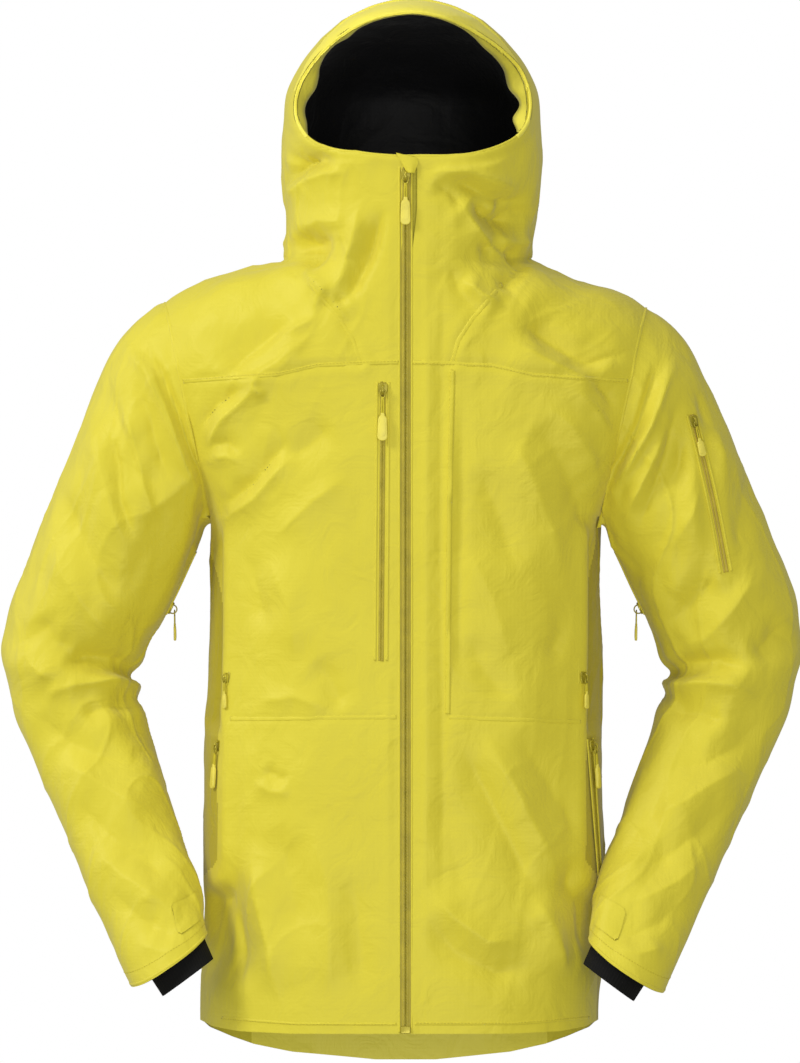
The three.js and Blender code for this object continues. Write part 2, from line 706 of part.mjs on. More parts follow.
// Zips.
const mainGroup = putZip("main_zip", mainZip, MAIN_PULL, { halves: true });
const boxTop = -mainZip.length - FIT;
put("main_zip_box", box(-TAPE_HALF_WIDTH + 1, TAPE_HALF_WIDTH - 1, -2.6, CLOTH, boxTop - BOX_HEIGHT, boxTop), metal, mainGroup);
put("zip_garage", box(-TAPE_HALF_WIDTH, TAPE_HALF_WIDTH, -2, CLOTH, FIT, GARAGE_HEIGHT), shell, mainGroup);
putZip("chest_zip", chestZip, CHEST_PULL);
putZip("arm_zip", sleeveZip(ARM_ZIP, 1), ARM_PULL);
for (const [side, name] of sides) {
  putZip(`hand_zip_${name}`, bodyZip(HAND_ZIP, side), HAND_PULL);
  putZip(`side_zip_${name}`, bodyZip(SIDE_ZIP, side), VENT_PULL, { atBottom: true });
  putZip(`pit_zip_${name}`, sleeveZip(PIT_ZIP, side), VENT_PULL, { atBottom: true, hang: 26 });
}

// Sleeves.
for (const [side, name] of sides) {
  const sleeve = (first, last) => clothTube(SLEEVE_SLICES, first, last, side);
  let upper = sleeve(HEAD_END + SEAM_STEP, UPPER_END - SEAM_STEP).subtract(zipSlot(sleeveZip(PIT_ZIP, side)));
  if (side > 0) upper = upper.subtract(zipSlot(sleeveZip(ARM_ZIP, side)));
  put(`sleeve_head_${name}`, sleeve(0, HEAD_END - SEAM_STEP), shell);
  put(`sleeve_upper_${name}`, upper, shell);
  put(`sleeve_elbow_${name}`, sleeve(UPPER_END + SEAM_STEP, LOWER_START - SEAM_STEP), shell);
  put(`sleeve_lower_${name}`, sleeve(LOWER_START + SEAM_STEP, SLEEVE_SLICES.length - 1), shell);
  put(`gaiter_${name}`, clothTube(GAITER_SLICES, 0, GAITER_SLICES.length - 1, side), gaiterKnit);

  const rings = [];
  for (let i = TAB_FACETS[0]; i <= TAB_FACETS[1]; i++) {
    const angle = (2 * Math.PI * i) / AROUND_SLEEVE;
    const corner = (n, out) => sleevePoint(sliceAt(SLEEVE_SLICES, n), angle, -out, side);
    const [low, high] = [FIT, FIT + TAB_THICKNESS];
    rings.push([corner(TAB_START, low), corner(TAB_END, low), corner(TAB_END, high), corner(TAB_START, high)]);
  }
  put(`cuff_tab_${name}`, loft(rings), shell);
}

jacket.position.set(0, -loopDepth, -loopZ);

export default jacket;
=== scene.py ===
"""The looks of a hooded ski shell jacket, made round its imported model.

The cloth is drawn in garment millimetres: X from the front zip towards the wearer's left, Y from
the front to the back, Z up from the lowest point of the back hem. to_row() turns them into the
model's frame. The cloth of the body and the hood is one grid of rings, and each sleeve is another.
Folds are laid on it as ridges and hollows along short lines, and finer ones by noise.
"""

import json
import math

import bmesh
import bpy
import numpy as np
from mathutils import Matrix, Vector
from mathutils.bvhtree import BVHTree


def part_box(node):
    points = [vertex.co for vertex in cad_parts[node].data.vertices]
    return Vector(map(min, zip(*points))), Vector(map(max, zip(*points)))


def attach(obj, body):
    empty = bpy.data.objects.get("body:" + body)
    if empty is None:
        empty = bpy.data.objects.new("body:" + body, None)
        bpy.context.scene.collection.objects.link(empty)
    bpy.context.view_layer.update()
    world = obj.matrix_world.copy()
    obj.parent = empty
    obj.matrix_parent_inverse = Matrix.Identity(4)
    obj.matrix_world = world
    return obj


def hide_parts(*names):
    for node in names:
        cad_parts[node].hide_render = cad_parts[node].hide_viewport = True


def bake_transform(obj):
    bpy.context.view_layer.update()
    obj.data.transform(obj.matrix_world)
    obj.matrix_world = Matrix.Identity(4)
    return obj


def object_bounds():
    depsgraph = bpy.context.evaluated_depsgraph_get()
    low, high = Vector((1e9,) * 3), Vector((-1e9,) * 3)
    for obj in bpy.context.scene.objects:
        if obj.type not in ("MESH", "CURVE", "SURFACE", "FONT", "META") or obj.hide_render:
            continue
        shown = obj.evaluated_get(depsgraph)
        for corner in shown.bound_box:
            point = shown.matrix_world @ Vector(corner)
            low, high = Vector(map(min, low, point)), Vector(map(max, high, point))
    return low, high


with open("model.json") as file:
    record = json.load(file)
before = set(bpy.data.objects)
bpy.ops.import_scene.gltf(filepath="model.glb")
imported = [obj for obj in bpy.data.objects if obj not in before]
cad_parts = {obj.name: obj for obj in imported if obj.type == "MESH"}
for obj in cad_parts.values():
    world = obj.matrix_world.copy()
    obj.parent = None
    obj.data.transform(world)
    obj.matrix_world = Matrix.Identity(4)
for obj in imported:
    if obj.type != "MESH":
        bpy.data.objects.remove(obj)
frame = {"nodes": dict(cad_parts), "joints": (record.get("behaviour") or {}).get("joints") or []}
cad_low, cad_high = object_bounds()

LOOP_DEPTH = 74  # the hang loop, which is the model's origin, stands this far behind the middle
LOOP_Z = -1000 * cad_low.z
JOINTS = {j["name"]: j for j in frame["joints"]}


def to_row(points):
    """Garment millimetres as metres in the model's frame."""
    return (np.asarray(points, float) - (0, LOOP_DEPTH, LOOP_Z)) / 1000


def from_row(point):
    return 1000 * np.asarray(point, float) + (0, LOOP_DEPTH, LOOP_Z)


# ---- small tools ----


def smooth(x, low, high):
    """0 below low, 1 above high, and a smooth step between; high may be the lower one."""
    t = np.clip((np.asarray(x, float) - low) / (high - low), 0, 1)
    return t * t * (3 - 2 * t)


def unit(v):
    v = np.asarray(v, float)
    return v / np.maximum(np.linalg.norm(v, axis=-1, keepdims=True), 1e-9)


def bell(x, middle, width):
    """1 at the middle, and down to 0 on both sides of it."""
    return np.exp(-(((x - middle) / width) ** 2))


def circle(count):
    """Equal angles round a circle, in radians."""
    return 2 * math.pi * np.arange(count) / count


def distances(line):
    """How far along a run of points each of them lies."""
    return np.concatenate([[0], np.cumsum(np.linalg.norm(np.diff(line, axis=0), axis=1))])


def columns_at(at, steps, table):
    """A table's columns, each read between its rows."""
    return np.stack([np.interp(at, steps, column) for column in np.transpose(table)], -1)


def blurred(values, reach, sigma, mode="edge"):
    """A run of numbers under a soft kernel; reach and sigma are counts of samples."""
    kernel = np.exp(-0.5 * (np.arange(-reach, reach + 1) / sigma) ** 2)
    return np.convolve(np.pad(values, reach, mode=mode), kernel / kernel.sum(), mode="valid")


def linear(*rgb):
    """An sRGB colour of 0 to 255 as the linear RGBA that a shader takes."""
    c = np.array(rgb) / 255
    c = np.where(c <= 0.04045, c / 12.92, ((c + 0.055) / 1.055) ** 2.4)
    return (*[float(v) for v in c], 1.0)


def make_object(name, verts, faces, materials):
    """A mesh object from garment points."""
    mesh = bpy.data.meshes.new(name)
    mesh.from_pydata(to_row(verts).tolist(), [], [list(map(int, f)) for f in faces])
    mesh.update()
    for material in materials if isinstance(materials, (list, tuple)) else [materials]:
        mesh.materials.append(material)
    mesh.polygons.foreach_set("use_smooth", [True] * len(mesh.polygons))
    obj = bpy.data.objects.new(name, mesh)
    bpy.context.scene.collection.objects.link(obj)
    return obj


def face_outward(obj):
    """Turns the faces of a closed mesh outward."""
    mesh = bmesh.new()
    mesh.from_mesh(obj.data)
    bmesh.ops.recalc_face_normals(mesh, faces=mesh.faces)
    mesh.to_mesh(obj.data)
    mesh.free()
    return obj


def finish_piece(obj, body, slot, *nodes):
    if body:
        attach(obj, body)
    if nodes:
        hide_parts(*nodes)
    return obj


# ---- camera and light ----

PHOTO_HEIGHT = 1063  # millimetres that the picture's height covers, at the jacket
VIEW_MIDDLE = (-5.5, 0, 530.5)
CAMERA_DISTANCE = 24.0


def make_stage():
    scene = bpy.context.scene
    scene.view_settings.view_transform = "Standard"
    middle = to_row(VIEW_MIDDLE)

    camera_data = bpy.data.cameras.new("camera")
    camera_data.lens = camera_data.sensor_width * CAMERA_DISTANCE / (PHOTO_HEIGHT / 1000)
    camera_data.clip_end = 60
    camera = bpy.data.objects.new("camera", camera_data)
    camera.location = (middle[0], middle[1] - CAMERA_DISTANCE, middle[2])
    camera.rotation_euler = (math.pi / 2, 0, 0)
    scene.collection.objects.link(camera)
    scene.camera = camera

    def area(name, place, size, energy):
        data = bpy.data.lights.new(name, "AREA")
        data.energy = energy
        data.size = size
        light = bpy.data.objects.new(name, data)
        light.location = place
        light.rotation_euler = (Vector(middle) - Vector(place)).to_track_quat("-Z", "Y").to_euler()
        scene.collection.objects.link(light)

    area("key", (-3.4, -2.2, 2.5), 1.3, 112)
    area("front_fill", (0.7, -5.0, 0.4), 2.6, 42)
    area("left_edge", (-3.2, 0.4, 0.4), 1.4, 16)
    area("top", (0.2, -1.3, 3.4), 1.2, 27)
    area("low_fill", (0.0, -4.0, -1.9), 1.6, 50)

    world = bpy.data.worlds.new("studio")
    scene.world = world
    world.use_nodes = True
    tree = world.node_tree
    tree.nodes.clear()
    output = tree.nodes.new("ShaderNodeOutputWorld")
    mix = tree.nodes.new("ShaderNodeMixShader")
    path = tree.nodes.new("ShaderNodeLightPath")
    around = tree.nodes.new("ShaderNodeBackground")
    seen = tree.nodes.new("ShaderNodeBackground")
    around.inputs["Color"].default_value = (1, 0.99, 0.82, 1)
    around.inputs["Strength"].default_value = 0.37
    seen.inputs["Color"].default_value = (1, 1, 1, 1)
    seen.inputs["Strength"].default_value = 1.0
    tree.links.new(path.outputs["Is Camera Ray"], mix.inputs["Fac"])
    tree.links.new(around.outputs[0], mix.inputs[1])
    tree.links.new(seen.outputs[0], mix.inputs[2])
    tree.links.new(mix.outputs[0], output.inputs["Surface"])


# ---- materials ----


def new_material(name, color, roughness):
    material = bpy.data.materials.new(name)
    material.use_nodes = True
    tree = material.node_tree
    shader = tree.nodes["Principled BSDF"]
    shader.inputs["Base Color"].default_value = color
    shader.inputs["Roughness"].default_value = roughness
    return material, shader, tree


def node(tree, kind, **values):
    made = tree.nodes.new(kind)
    for key, value in values.items():
        made.inputs[key.replace("_", " ")].default_value = value
    return made


def object_coords(tree):
    return tree.nodes.new("ShaderNodeTexCoord").outputs["Object"]


def vary_color(tree, shader, coords, color, dark, scale, low=0.35, high=0.65):
    """Base colour that drifts between two tones."""
    noise = node(tree, "ShaderNodeTexNoise", Scale=scale, Detail=4.0, Roughness=0.6)
    tree.links.new(coords, noise.inputs["Vector"])
    ramp = tree.nodes.new("ShaderNodeValToRGB")
    ramp.color_ramp.elements[0].position = low
    ramp.color_ramp.elements[0].color = dark
    ramp.color_ramp.elements[1].position = high
    ramp.color_ramp.elements[1].color = color
    tree.links.new(noise.outputs["Fac"], ramp.inputs["Fac"])
    tree.links.new(ramp.outputs["Color"], shader.inputs["Base Color"])
    return noise


def vary_roughness(tree, shader, source, low, high):
    span = tree.nodes.new("ShaderNodeMapRange")
    span.inputs["To Min"].default_value = low
    span.inputs["To Max"].default_value = high
    tree.links.new(source, span.inputs["Value"])
    tree.links.new(span.outputs["Result"], shader.inputs["Roughness"])


def bump(tree, shader, layers):
    """Stacks bump layers; each is (height output, strength, distance)."""
    last = None
    for height, strength, distance in layers:
        made = node(tree, "ShaderNodeBump", Strength=strength, Distance=distance)
        tree.links.new(height, made.inputs["Height"])
        if last:
            tree.links.new(last.outputs["Normal"], made.inputs["Normal"])
        last = made
    tree.links.new(last.outputs["Normal"], shader.inputs["Normal"])


def weave_height(tree, coords, pitch):
    """A plain weave: threads along two directions of the cloth, from three crossed waves."""
    heights = []
    for direction in ("X", "Y", "Z"):
        wave = node(tree, "ShaderNodeTexWave", Scale=1 / (pitch * 20), Distortion=0.6, Detail=1.0)
        wave.bands_direction = direction
        tree.links.new(coords, wave.inputs["Vector"])
        heights.append(wave.outputs["Fac"])
    total = heights[0]
    for other in heights[1:]:
        add = tree.nodes.new("ShaderNodeMath")
        add.operation = "ADD"
        tree.links.new(total, add.inputs[0])
        tree.links.new(other, add.inputs[1])
        total = add.outputs[0]
    return total


def cloth_material(name, color, dark, roughness, pitch=0.0006, sheen=0.15):
    material, shader, tree = new_material(name, color, roughness)
    coords = object_coords(tree)
    drift = vary_color(tree, shader, coords, color, dark, 7.0, 0.3, 0.6)
    shader.inputs["Sheen Weight"].default_value = sheen
    shader.inputs["Sheen Roughness"].default_value = 0.5
    shader.inputs["Specular IOR Level"].default_value = 0.3
    vary_roughness(tree, shader, drift.outputs["Fac"], roughness - 0.06, roughness + 0.06)
    crumple = node(tree, "ShaderNodeTexNoise", Scale=26.0, Detail=5.0, Roughness=0.5, Distortion=1.2)
    tree.links.new(coords, crumple.inputs["Vector"])
    bump(
        tree,
        shader,
        [
            (crumple.outputs["Fac"], 0.55, 0.0042),
            (weave_height(tree, coords, pitch), 0.12, 0.00025),
        ],
    )
    return material


def plain_material(name, color, roughness, metallic=0.0, grain=900.0, depth=0.00015):
    material, shader, tree = new_material(name, color, roughness)
    coords = object_coords(tree)
    shader.inputs["Metallic"].default_value = metallic
    dark = tuple(0.82 * c for c in color[:3]) + (1,)
    speck = vary_color(tree, shader, coords, color, dark, 60.0)
    vary_roughness(tree, shader, speck.outputs["Fac"], roughness - 0.05, roughness + 0.08)
    fine = node(tree, "ShaderNodeTexNoise", Scale=grain, Detail=3.0)
    tree.links.new(coords, fine.inputs["Vector"])
    bump(tree, shader, [(fine.outputs["Fac"], 0.3, depth)])
    return material


SHELL = cloth_material("shell_cloth", (0.672, 0.586, 0.040, 1), (0.650, 0.562, 0.034, 1), 0.56)
# Painted shade: a darker copy of the shell cloth for the side panels, standing in for the shade they lie in beside
# the sleeves.
SHADED_SHELL = cloth_material("side_cloth", (0.46, 0.385, 0.012, 1), (0.43, 0.36, 0.010, 1), 0.56)
# Painted highlight: a lighter copy of the shell cloth, standing in for light on the brim, the hood's facing, the
# brim's bindings and seam, and the back panel's inside at the hem.
LIT_SHELL = cloth_material("brim_cloth", (0.86, 0.765, 0.085, 1), (0.83, 0.735, 0.07, 1), 0.5)
THREAD = plain_material("thread", (0.62, 0.53, 0.03, 1), 0.6)
LINING = cloth_material("lining", linear(18, 18, 22), linear(10, 10, 13), 0.6, sheen=0.12)
GAITER = cloth_material("gaiter_knit", linear(6, 6, 7), linear(4, 4, 5), 0.9, pitch=0.0011, sheen=0.0)
TAPE = plain_material("zip_tape", (0.50, 0.41, 0.028, 1), 0.5)
OCHRE = plain_material("arm_zip_tape", (0.50, 0.38, 0.035, 1), 0.5)
COIL = plain_material("zip_coil", (0.42, 0.345, 0.02, 1), 0.38)
SLIDER = plain_material("zip_slider", (0.45, 0.38, 0.03, 1), 0.32, metallic=0.35)
PULL = plain_material("pull_plastic", (0.83, 0.72, 0.10, 1), 0.42)
CORD = plain_material("pull_cord", (0.60, 0.51, 0.02, 1), 0.7, grain=2200.0, depth=0.0003)
make_stage()

# ---- noise and folds ----


def waves(points, seed, count, longest, shortest, stretch=(1, 1, 1)):
    """Smooth noise of about -1 to 1 from plane waves between two wavelengths, in millimetres."""
    rng = np.random.default_rng(seed)
    total = np.zeros(len(points))
    scaled = points / np.array(stretch)
    for _ in range(count):
        direction = unit(rng.normal(size=3))
        length = longest * (shortest / longest) ** rng.random()
        total += np.sin(2 * math.pi * (scaled @ direction / length + rng.random()))
    return total / math.sqrt(count / 2) * 0.6


def creases(points, seed, longest, shortest, stretch=(1, 1, 1), sharp=2.0):
    """Noise with narrow raised lines, as crumpled cloth has: 0 in the hollows, 1 on the lines."""
    bend = np.stack([waves(points, seed + k, 6, 2 * longest, longest) for k in range(3)], 1)
    field = waves(points + 0.18 * longest * bend, seed + 9, 14, longest, shortest, stretch)
    return np.clip(1 - np.abs(field) * 1.4, 0, 1) ** sharp


def facets(points, seed, count, longest, shortest, stretch=(1, 1, 1), bend=0.12):
    """Flat areas that meet in sharp lines, as stiff cloth buckles: about -1 to 1."""
    rng = np.random.default_rng(seed)
    scaled = points / np.array(stretch)
    drift = np.stack([waves(scaled, seed + k, 6, 2.5 * longest, longest) for k in range(3)], 1)
    scaled = scaled + bend * longest * drift
    total = np.zeros(len(points))
    for _ in range(count):
        direction = unit(rng.normal(size=3))
        length = longest * (shortest / longest) ** rng.random()
        share = (scaled @ direction / length + rng.random()) % 1
        total += 4 * np.abs(share - 0.5) - 1
    return total / math.sqrt(count)


# Where the cloth is most crumpled: (x, z, reach, strength).
BUSY = [
    (200, 560, 95, 1.0), (150, 735, 80, 0.55), (300, 395, 95, 1.1), (262, 200, 120, 0.7), (250, 640, 90, 0.7),
    (100, 840, 80, 0.9), (70, 770, 60, 0.7), (150, 330, 70, 0.5), (150, 140, 95, 0.75), (350, 520, 80, 0.45),
]  # fmt: skip


def busy(points):
    x, z = np.abs(points[:, 0]), points[:, 2]
    total = np.full(len(points), 0.10)
    for bx, bz, reach, strength in BUSY:
        total += strength * np.exp(-((x - bx) ** 2 + (z - bz) ** 2) / reach**2)
    return np.minimum(total, 1.2)


def fold(points, facing, strokes):
    """Sum of listed folds, in millimetres. A stroke is (height, width, lean, [(x, z), ...]).

    A positive height is a ridge. Lean makes the slope on the line's right side the longer one,
    or the left side's when it is below zero. A stroke fades towards both of its ends.
    """
    total = np.zeros(len(points))
    flat = points[:, [0, 2]]
    for height, width, lean, line in strokes:
        width *= 0.74
        reach = 3.2 * width * (1 + abs(lean))
        near = np.all((flat > line.min(0) - reach) & (flat < line.max(0) + reach), 1) & (facing > 0.02)
        if not near.any():
            continue
        spot = flat[near]
        lengths = np.linalg.norm(np.diff(line, axis=0), axis=1)
        starts = np.concatenate([[0], np.cumsum(lengths)])
        best = np.full(len(spot), 1e9)
        signed = np.zeros(len(spot))
        along = np.zeros(len(spot))
        for k, length in enumerate(lengths):
            direction = (line[k + 1] - line[k]) / length
            rel = spot - line[k]
            t = np.clip(rel @ direction, 0, length)
            gap = rel - t[:, None] * direction
            far = np.linalg.norm(gap, axis=1)
            closer = far < best
            best[closer] = far[closer]
            side = direction[1] * rel[:, 0] - direction[0] * rel[:, 1]
            signed[closer] = side[closer]
            along[closer] = (starts[k] + t)[closer] / starts[-1]
        wide = width * np.where(signed > 0, 1 + lean, 1 - lean)
        taper = smooth(along, -0.02, 0.3) * smooth(along, 1.02, 0.7)
        q = best / np.maximum(wide, 1)
        shape = np.exp(-(q ** (1.15 if height > 0 else 1.45)))
        total[near] += 1.5 * height * shape * taper * smooth(facing[near], 0.02, 0.3)
    return total


# ---- grids ----


def grid_faces(rows, columns):
    """Faces of a grid of rings."""
    r, c = np.meshgrid(np.arange(rows - 1), np.arange(columns), indexing="ij")
    n = (c + 1) % columns
    low, high = r * columns, (r + 1) * columns
    return np.stack([low + c, low + n, high + n, high + c], -1).reshape(-1, 4)


def sheet_faces(rows, columns):
    """Faces of a grid whose rows stay open."""
    faces = grid_faces(rows, columns).reshape(rows - 1, columns, 4)
    return faces[:, :-1].reshape(-1, 4)


# ---- surface of the body and hood ----

# Height, half width, depth behind the middle plane and squareness of each horizontal slice.
BODY_SLICES = np.array([
    (-12, 199, 121, 2.7), (200, 200, 117, 2.65), (345, 198, 113, 2.6), (450, 195, 115, 2.6),
    (537, 194, 121, 2.6), (547, 195, 122, 2.6), (565, 203, 124, 2.6), (600, 223, 126, 2.6),
    (650, 247, 126, 2.5), (700, 259, 120, 2.35), (735, 255, 110, 2.1), (757, 241, 101, 1.85),
    (770, 220, 96, 1.75), (782, 191, 91, 1.75), (792, 154, 88, 1.9), (801, 122, 88, 2.1),
    (830, 121, 108, 2.3), (865, 128, 132, 2.35), (904, 131, 147, 2.35), (970, 126, 143, 2.25),
    (1002, 109, 126, 2.2), (1024, 91, 104, 2.15), (1042, 70, 76, 2.1), (1054, 46, 46, 2),
    (1062, 19, 14, 2),
])  # fmt: skip
STEP = 2.5
ZIP_HALF_GAP = 5.6
HEM_Z, CHIN_Z = 31, 905  # of the front's middle
FRONT_BOTTOM_DEPTH, FRONT_TOP_DEPTH = 138, 112  # before the middle plane, at the hem and at the chin
ZIP_TOP_Z = 895  # above it the front's two edges are one
SIDE_PANEL_TOP = 545
BRIM_BACK = 45  # how far the brim's back edge stands before the middle plane
BRIM_END_Z = 971  # the brim's lowest point
BAND_SLOPE = math.atan2(2, 5)
BAND_HEIGHT = 62
ARMHOLE = np.array([(195, 547), (240, 757)])
BACK_SEAM_X = 150
YOKE_SEAM = np.array([(46, 698), (87, 696), (126, 687), (167, 687), (300, 672)])
NECK_SEAM = np.array([(46, 698), (52, 720), (66, 742), (97, 778), (122, 800)])
# The hood's opening as it is seen from the front, clockwise from its top.
FACE_OPENING = np.array([
    (8, 1047), (41, 1040), (76, 1023), (98, 1007), (112, 993), (120, 975), (123, 957), (121, 940),
    (113, 927), (100, 918), (78, 910), (50, 905), (8, 908), (-50, 908), (-82, 914), (-97, 924),
    (-108, 943), (-108, 965), (-98, 989), (-72, 1017), (-38, 1038),
])  # fmt: skip

_z = np.arange(-12, 1063)


def _smooth_column(values):
    raw = np.interp(_z, BODY_SLICES[:, 0], values)
    soft = blurred(raw, 24, 7)
    w = np.maximum(smooth(_z, 1000, 1030), bell(_z, 799, 12))
    return soft * (1 - w) + raw * w


BODY_TABLE = [_smooth_column(BODY_SLICES[:, k]) for k in (1, 2, 3)]


def front_depth(z):
    return np.interp(z, (HEM_Z, CHIN_Z), (FRONT_BOTTOM_DEPTH, FRONT_TOP_DEPTH))


def body_shape(z):
    """Half width, front depth, back depth, squareness and sideways shift at each height."""
    half, back, square = (np.interp(z, _z, column) for column in BODY_TABLE)
    half = half + 2 * bell(np.asarray(z), 830, 18)
    rise = np.clip((np.asarray(z) - 1040) / 23, 0, 0.999)
    front = front_depth(z) * np.sqrt(1 - rise**2)
    return half, front, back, square, 7 * smooth(z, 790, 860)


def body_ring(z, count):
    """An open ring from the front's middle round by the wearer's left and back to it."""
    half, front, back, square, shift = (float(v) for v in body_shape(z))
    angle = np.linspace(-math.pi / 2, math.pi / 2, 1201)
    c, s = np.cos(angle), np.sin(angle)
    x = half * np.abs(c) ** (2 / square)
    y = np.where(s < 0, front, back) * np.sign(s) * np.abs(s) ** (2 / square)
    steps = distances(np.stack([x, y], 1))
    at = np.linspace(0, steps[-1], count // 2 + 1)
    x, y = np.interp(at, steps, x), np.interp(at, steps, y)
    ring_x = np.concatenate([x, -x[-2::-1]])
    ring_y = np.concatenate([y, y[-2::-1]])
    return np.stack([ring_x + shift, ring_y, np.full(len(ring_x), z)], 1)


def hem_height(x, y):
    x = np.abs(x)
    front = np.interp(x, (0, 110, 160, 185, 199), (31, 31, 33, 37, 43))
    back = np.interp(x, (0, 30, 110, 146, 168, 190, 199), (0, 0, 8, 16, 24, 34, 43))
    return np.where(y < 0, front, back)


def make_body():
    heights = np.concatenate([np.arange(0, 1030, STEP), 1062 - 32 * np.linspace(1, 0, 26)[1:-1] ** 2, [1062]])
    count = 360
    grid = np.stack([body_ring(z, count) for z in heights])
    hem = hem_height(grid[0, :, 0], grid[0, :, 1])
    grid[:, :, 2] += hem[None] * (1 - smooth(heights, 0, 170))[:, None]
    # The two edges of the front stand apart for the zip, up to the chin.
    gap = ZIP_HALF_GAP * smooth(heights, ZIP_TOP_Z + 3, ZIP_TOP_Z - 3)[:, None]
    x = grid[:, :, 0]
    side = np.where(np.arange(count + 1) < count / 2, 1.0, -1.0)[None]
    near = (grid[:, :, 1] < 0) & (np.abs(x) < 60)
    grid[:, :, 0] = np.where(near, x + side * gap * (1 - np.clip(side * x, 0, 60) / 60), x)
    # the crown closes over the last ring
    middle = grid[-1].mean(0)
    shares = np.array((0.8, 0.6, 0.4, 0.2, 0.01))[:, None, None]
    crown = middle + (grid[-1] - middle) * shares + np.array((0, 0, 1.2)) * (1 - shares**2)
    return np.concatenate([grid, crown])


def open_normals(grid):
    """Outward normals of a grid of open rings, whose two ends meet above the zip."""
    around = np.empty_like(grid)
    around[:, 1:-1] = grid[:, 2:] - grid[:, :-2]
    around[:, 0] = grid[:, 1] - grid[:, 0]
    around[:, -1] = grid[:, -1] - grid[:, -2]
    up = np.gradient(grid, axis=0)
    normals = np.cross(around, up)
    ends = normals[:, 0] + normals[:, -1]
    join = smooth(grid[:, 0, 2], ZIP_TOP_Z - 3, ZIP_TOP_Z + 3)[:, None]
    for end in (0, -1):
        normals[:, end] = unit(normals[:, end]) * (1 - join) + unit(ends) * join
    return unit(normals)


def polar(points, middle):
    rel = points - middle
    return np.arctan2(rel[..., 0], rel[..., 1]), np.hypot(rel[..., 0], rel[..., 1])


OPENING_MIDDLE = np.array((7.0, 965.0))
_closed = np.concatenate([FACE_OPENING[-3:], FACE_OPENING, FACE_OPENING[:3]])
_t = np.linspace(2.5, len(_closed) - 3.5, 1500)
_dense = np.stack([np.interp(_t, np.arange(len(_closed)), _closed[:, k]) for k in (0, 1)], 1)
_a, _r = polar(_dense, OPENING_MIDDLE)
_order = np.argsort(_a)
_a, _r = _a[_order], _r[_order]
_r = blurred(_r, 60, 24, "wrap")


def opening_radius(angle):
    return np.interp(angle, _a, _r, period=2 * math.pi)


def opening_field(points):
    """Above 0 inside the hood's opening."""
    angle, radius = polar(points[..., [0, 2]], OPENING_MIDDLE)
    field = opening_radius(angle) - radius
    return np.where(points[..., 1] < 0, field, -50)


def armhole_field(points):
    """Above 0 beyond the armholes' planes."""
    (x0, z0), (x1, z1) = ARMHOLE
    z = points[..., 2]
    plane = x0 + (x1 - x0) * (z - z0) / (z1 - z0)
    field = np.abs(points[..., 0]) - plane
    return np.where((z > z0 - 1) & (z < z1 + 1), field, -50)


def cut_grid(grid, fields):
    """Moves the points just past an edge onto it. Returns which faces stay."""
    grid = grid.copy()
    gone = np.zeros(grid.shape[:2], bool)
    for field in fields:
        out = field > 0
        best = np.full(field.shape, -1.0)
        moved = grid.copy()
        for axis, shift in ((0, 1), (0, -1), (1, 1), (1, -1)):
            other = np.roll(field, shift, axis)
            spot = np.roll(grid, shift, axis)
            valid = out & (other <= 0) & (other > -45)
            t = np.where(valid, -other / np.where(valid, field - other, 1), -1)
            closer = valid & (t > best)
            best[closer] = t[closer]
            moved[closer] = spot[closer] + t[closer][:, None] * (grid[closer] - spot[closer])
        snapped = best >= 0
        grid = moved
        gone |= out & ~snapped
    corners = np.stack([gone[:-1, :-1], gone[:-1, 1:], gone[1:, 1:], gone[1:, :-1]])
    outs = np.zeros(grid.shape[:2], bool)
    for field in fields:
        outs |= field > 0
    all_out = np.stack([outs[:-1, :-1], outs[:-1, 1:], outs[1:, 1:], outs[1:, :-1]]).all(0)
    return grid, ~corners.any(0) & ~all_out


# ---- folds laid along given lines ----


def strokes(text):
    """Folds from lines of text: height, width and lean, then the x and z of each point."""
    rows = [[float(word) for word in row.split()] for row in text.splitlines() if row and row[0] != "#"]
    return [(height, width, lean, np.reshape(line, (-1, 2))) for height, width, lean, *line in rows]


HOOD_FOLDS = strokes("""
-8 13 0.3  -20 856  -32 816  -48 780  -64 752
6 16 -0.2  -44 862  -52 816  -62 784  -76 756
-6 16 0.2  -84 766  -70 757  -58 764
7 13 0  -104 792  -86 774  -66 752  -56 738
-10 13 0.3  -122 874  -106 896  -84 904  -62 898
5 10 0  -120 862  -102 880  -80 888  -56 888
-7 20 0  -110 828  -94 812  -76 800
-4 14 0  -116 896  -104 908  -92 896
-5 13 0.2  -112 806  -92 818  -70 822
4 13 0  -108 826  -86 840  -56 838
5 11 0.2  18 880  34 890  61 889  88 880  116 872
-9 12 0.2  34 884  60 878  86 864  108 859  131 864
-14 16 0.3  66 862  84 844  100 836  126 838
-7 14 0  92 850  110 846  130 850
6 12 -0.2  56 858  74 832  92 810  108 796
5 11 0  96 822  114 818  132 822
-6 13 0.2  70 808  90 814  118 800
-6 14 0.2  92 772  106 784  122 798
6 12 0  56 782  76 764  96 758
-4 14 0  40 800  56 770  76 744
-4 12 0  28 880  44 868  60 852
4 10 0  26 896  52 890  88 896  108 906
3.5 10 0  -24 898  -56 898  -88 902
-3 12 0  -118 960  -114 990  -104 1010
-3 12 0  128 920  130 952  126 980
""")
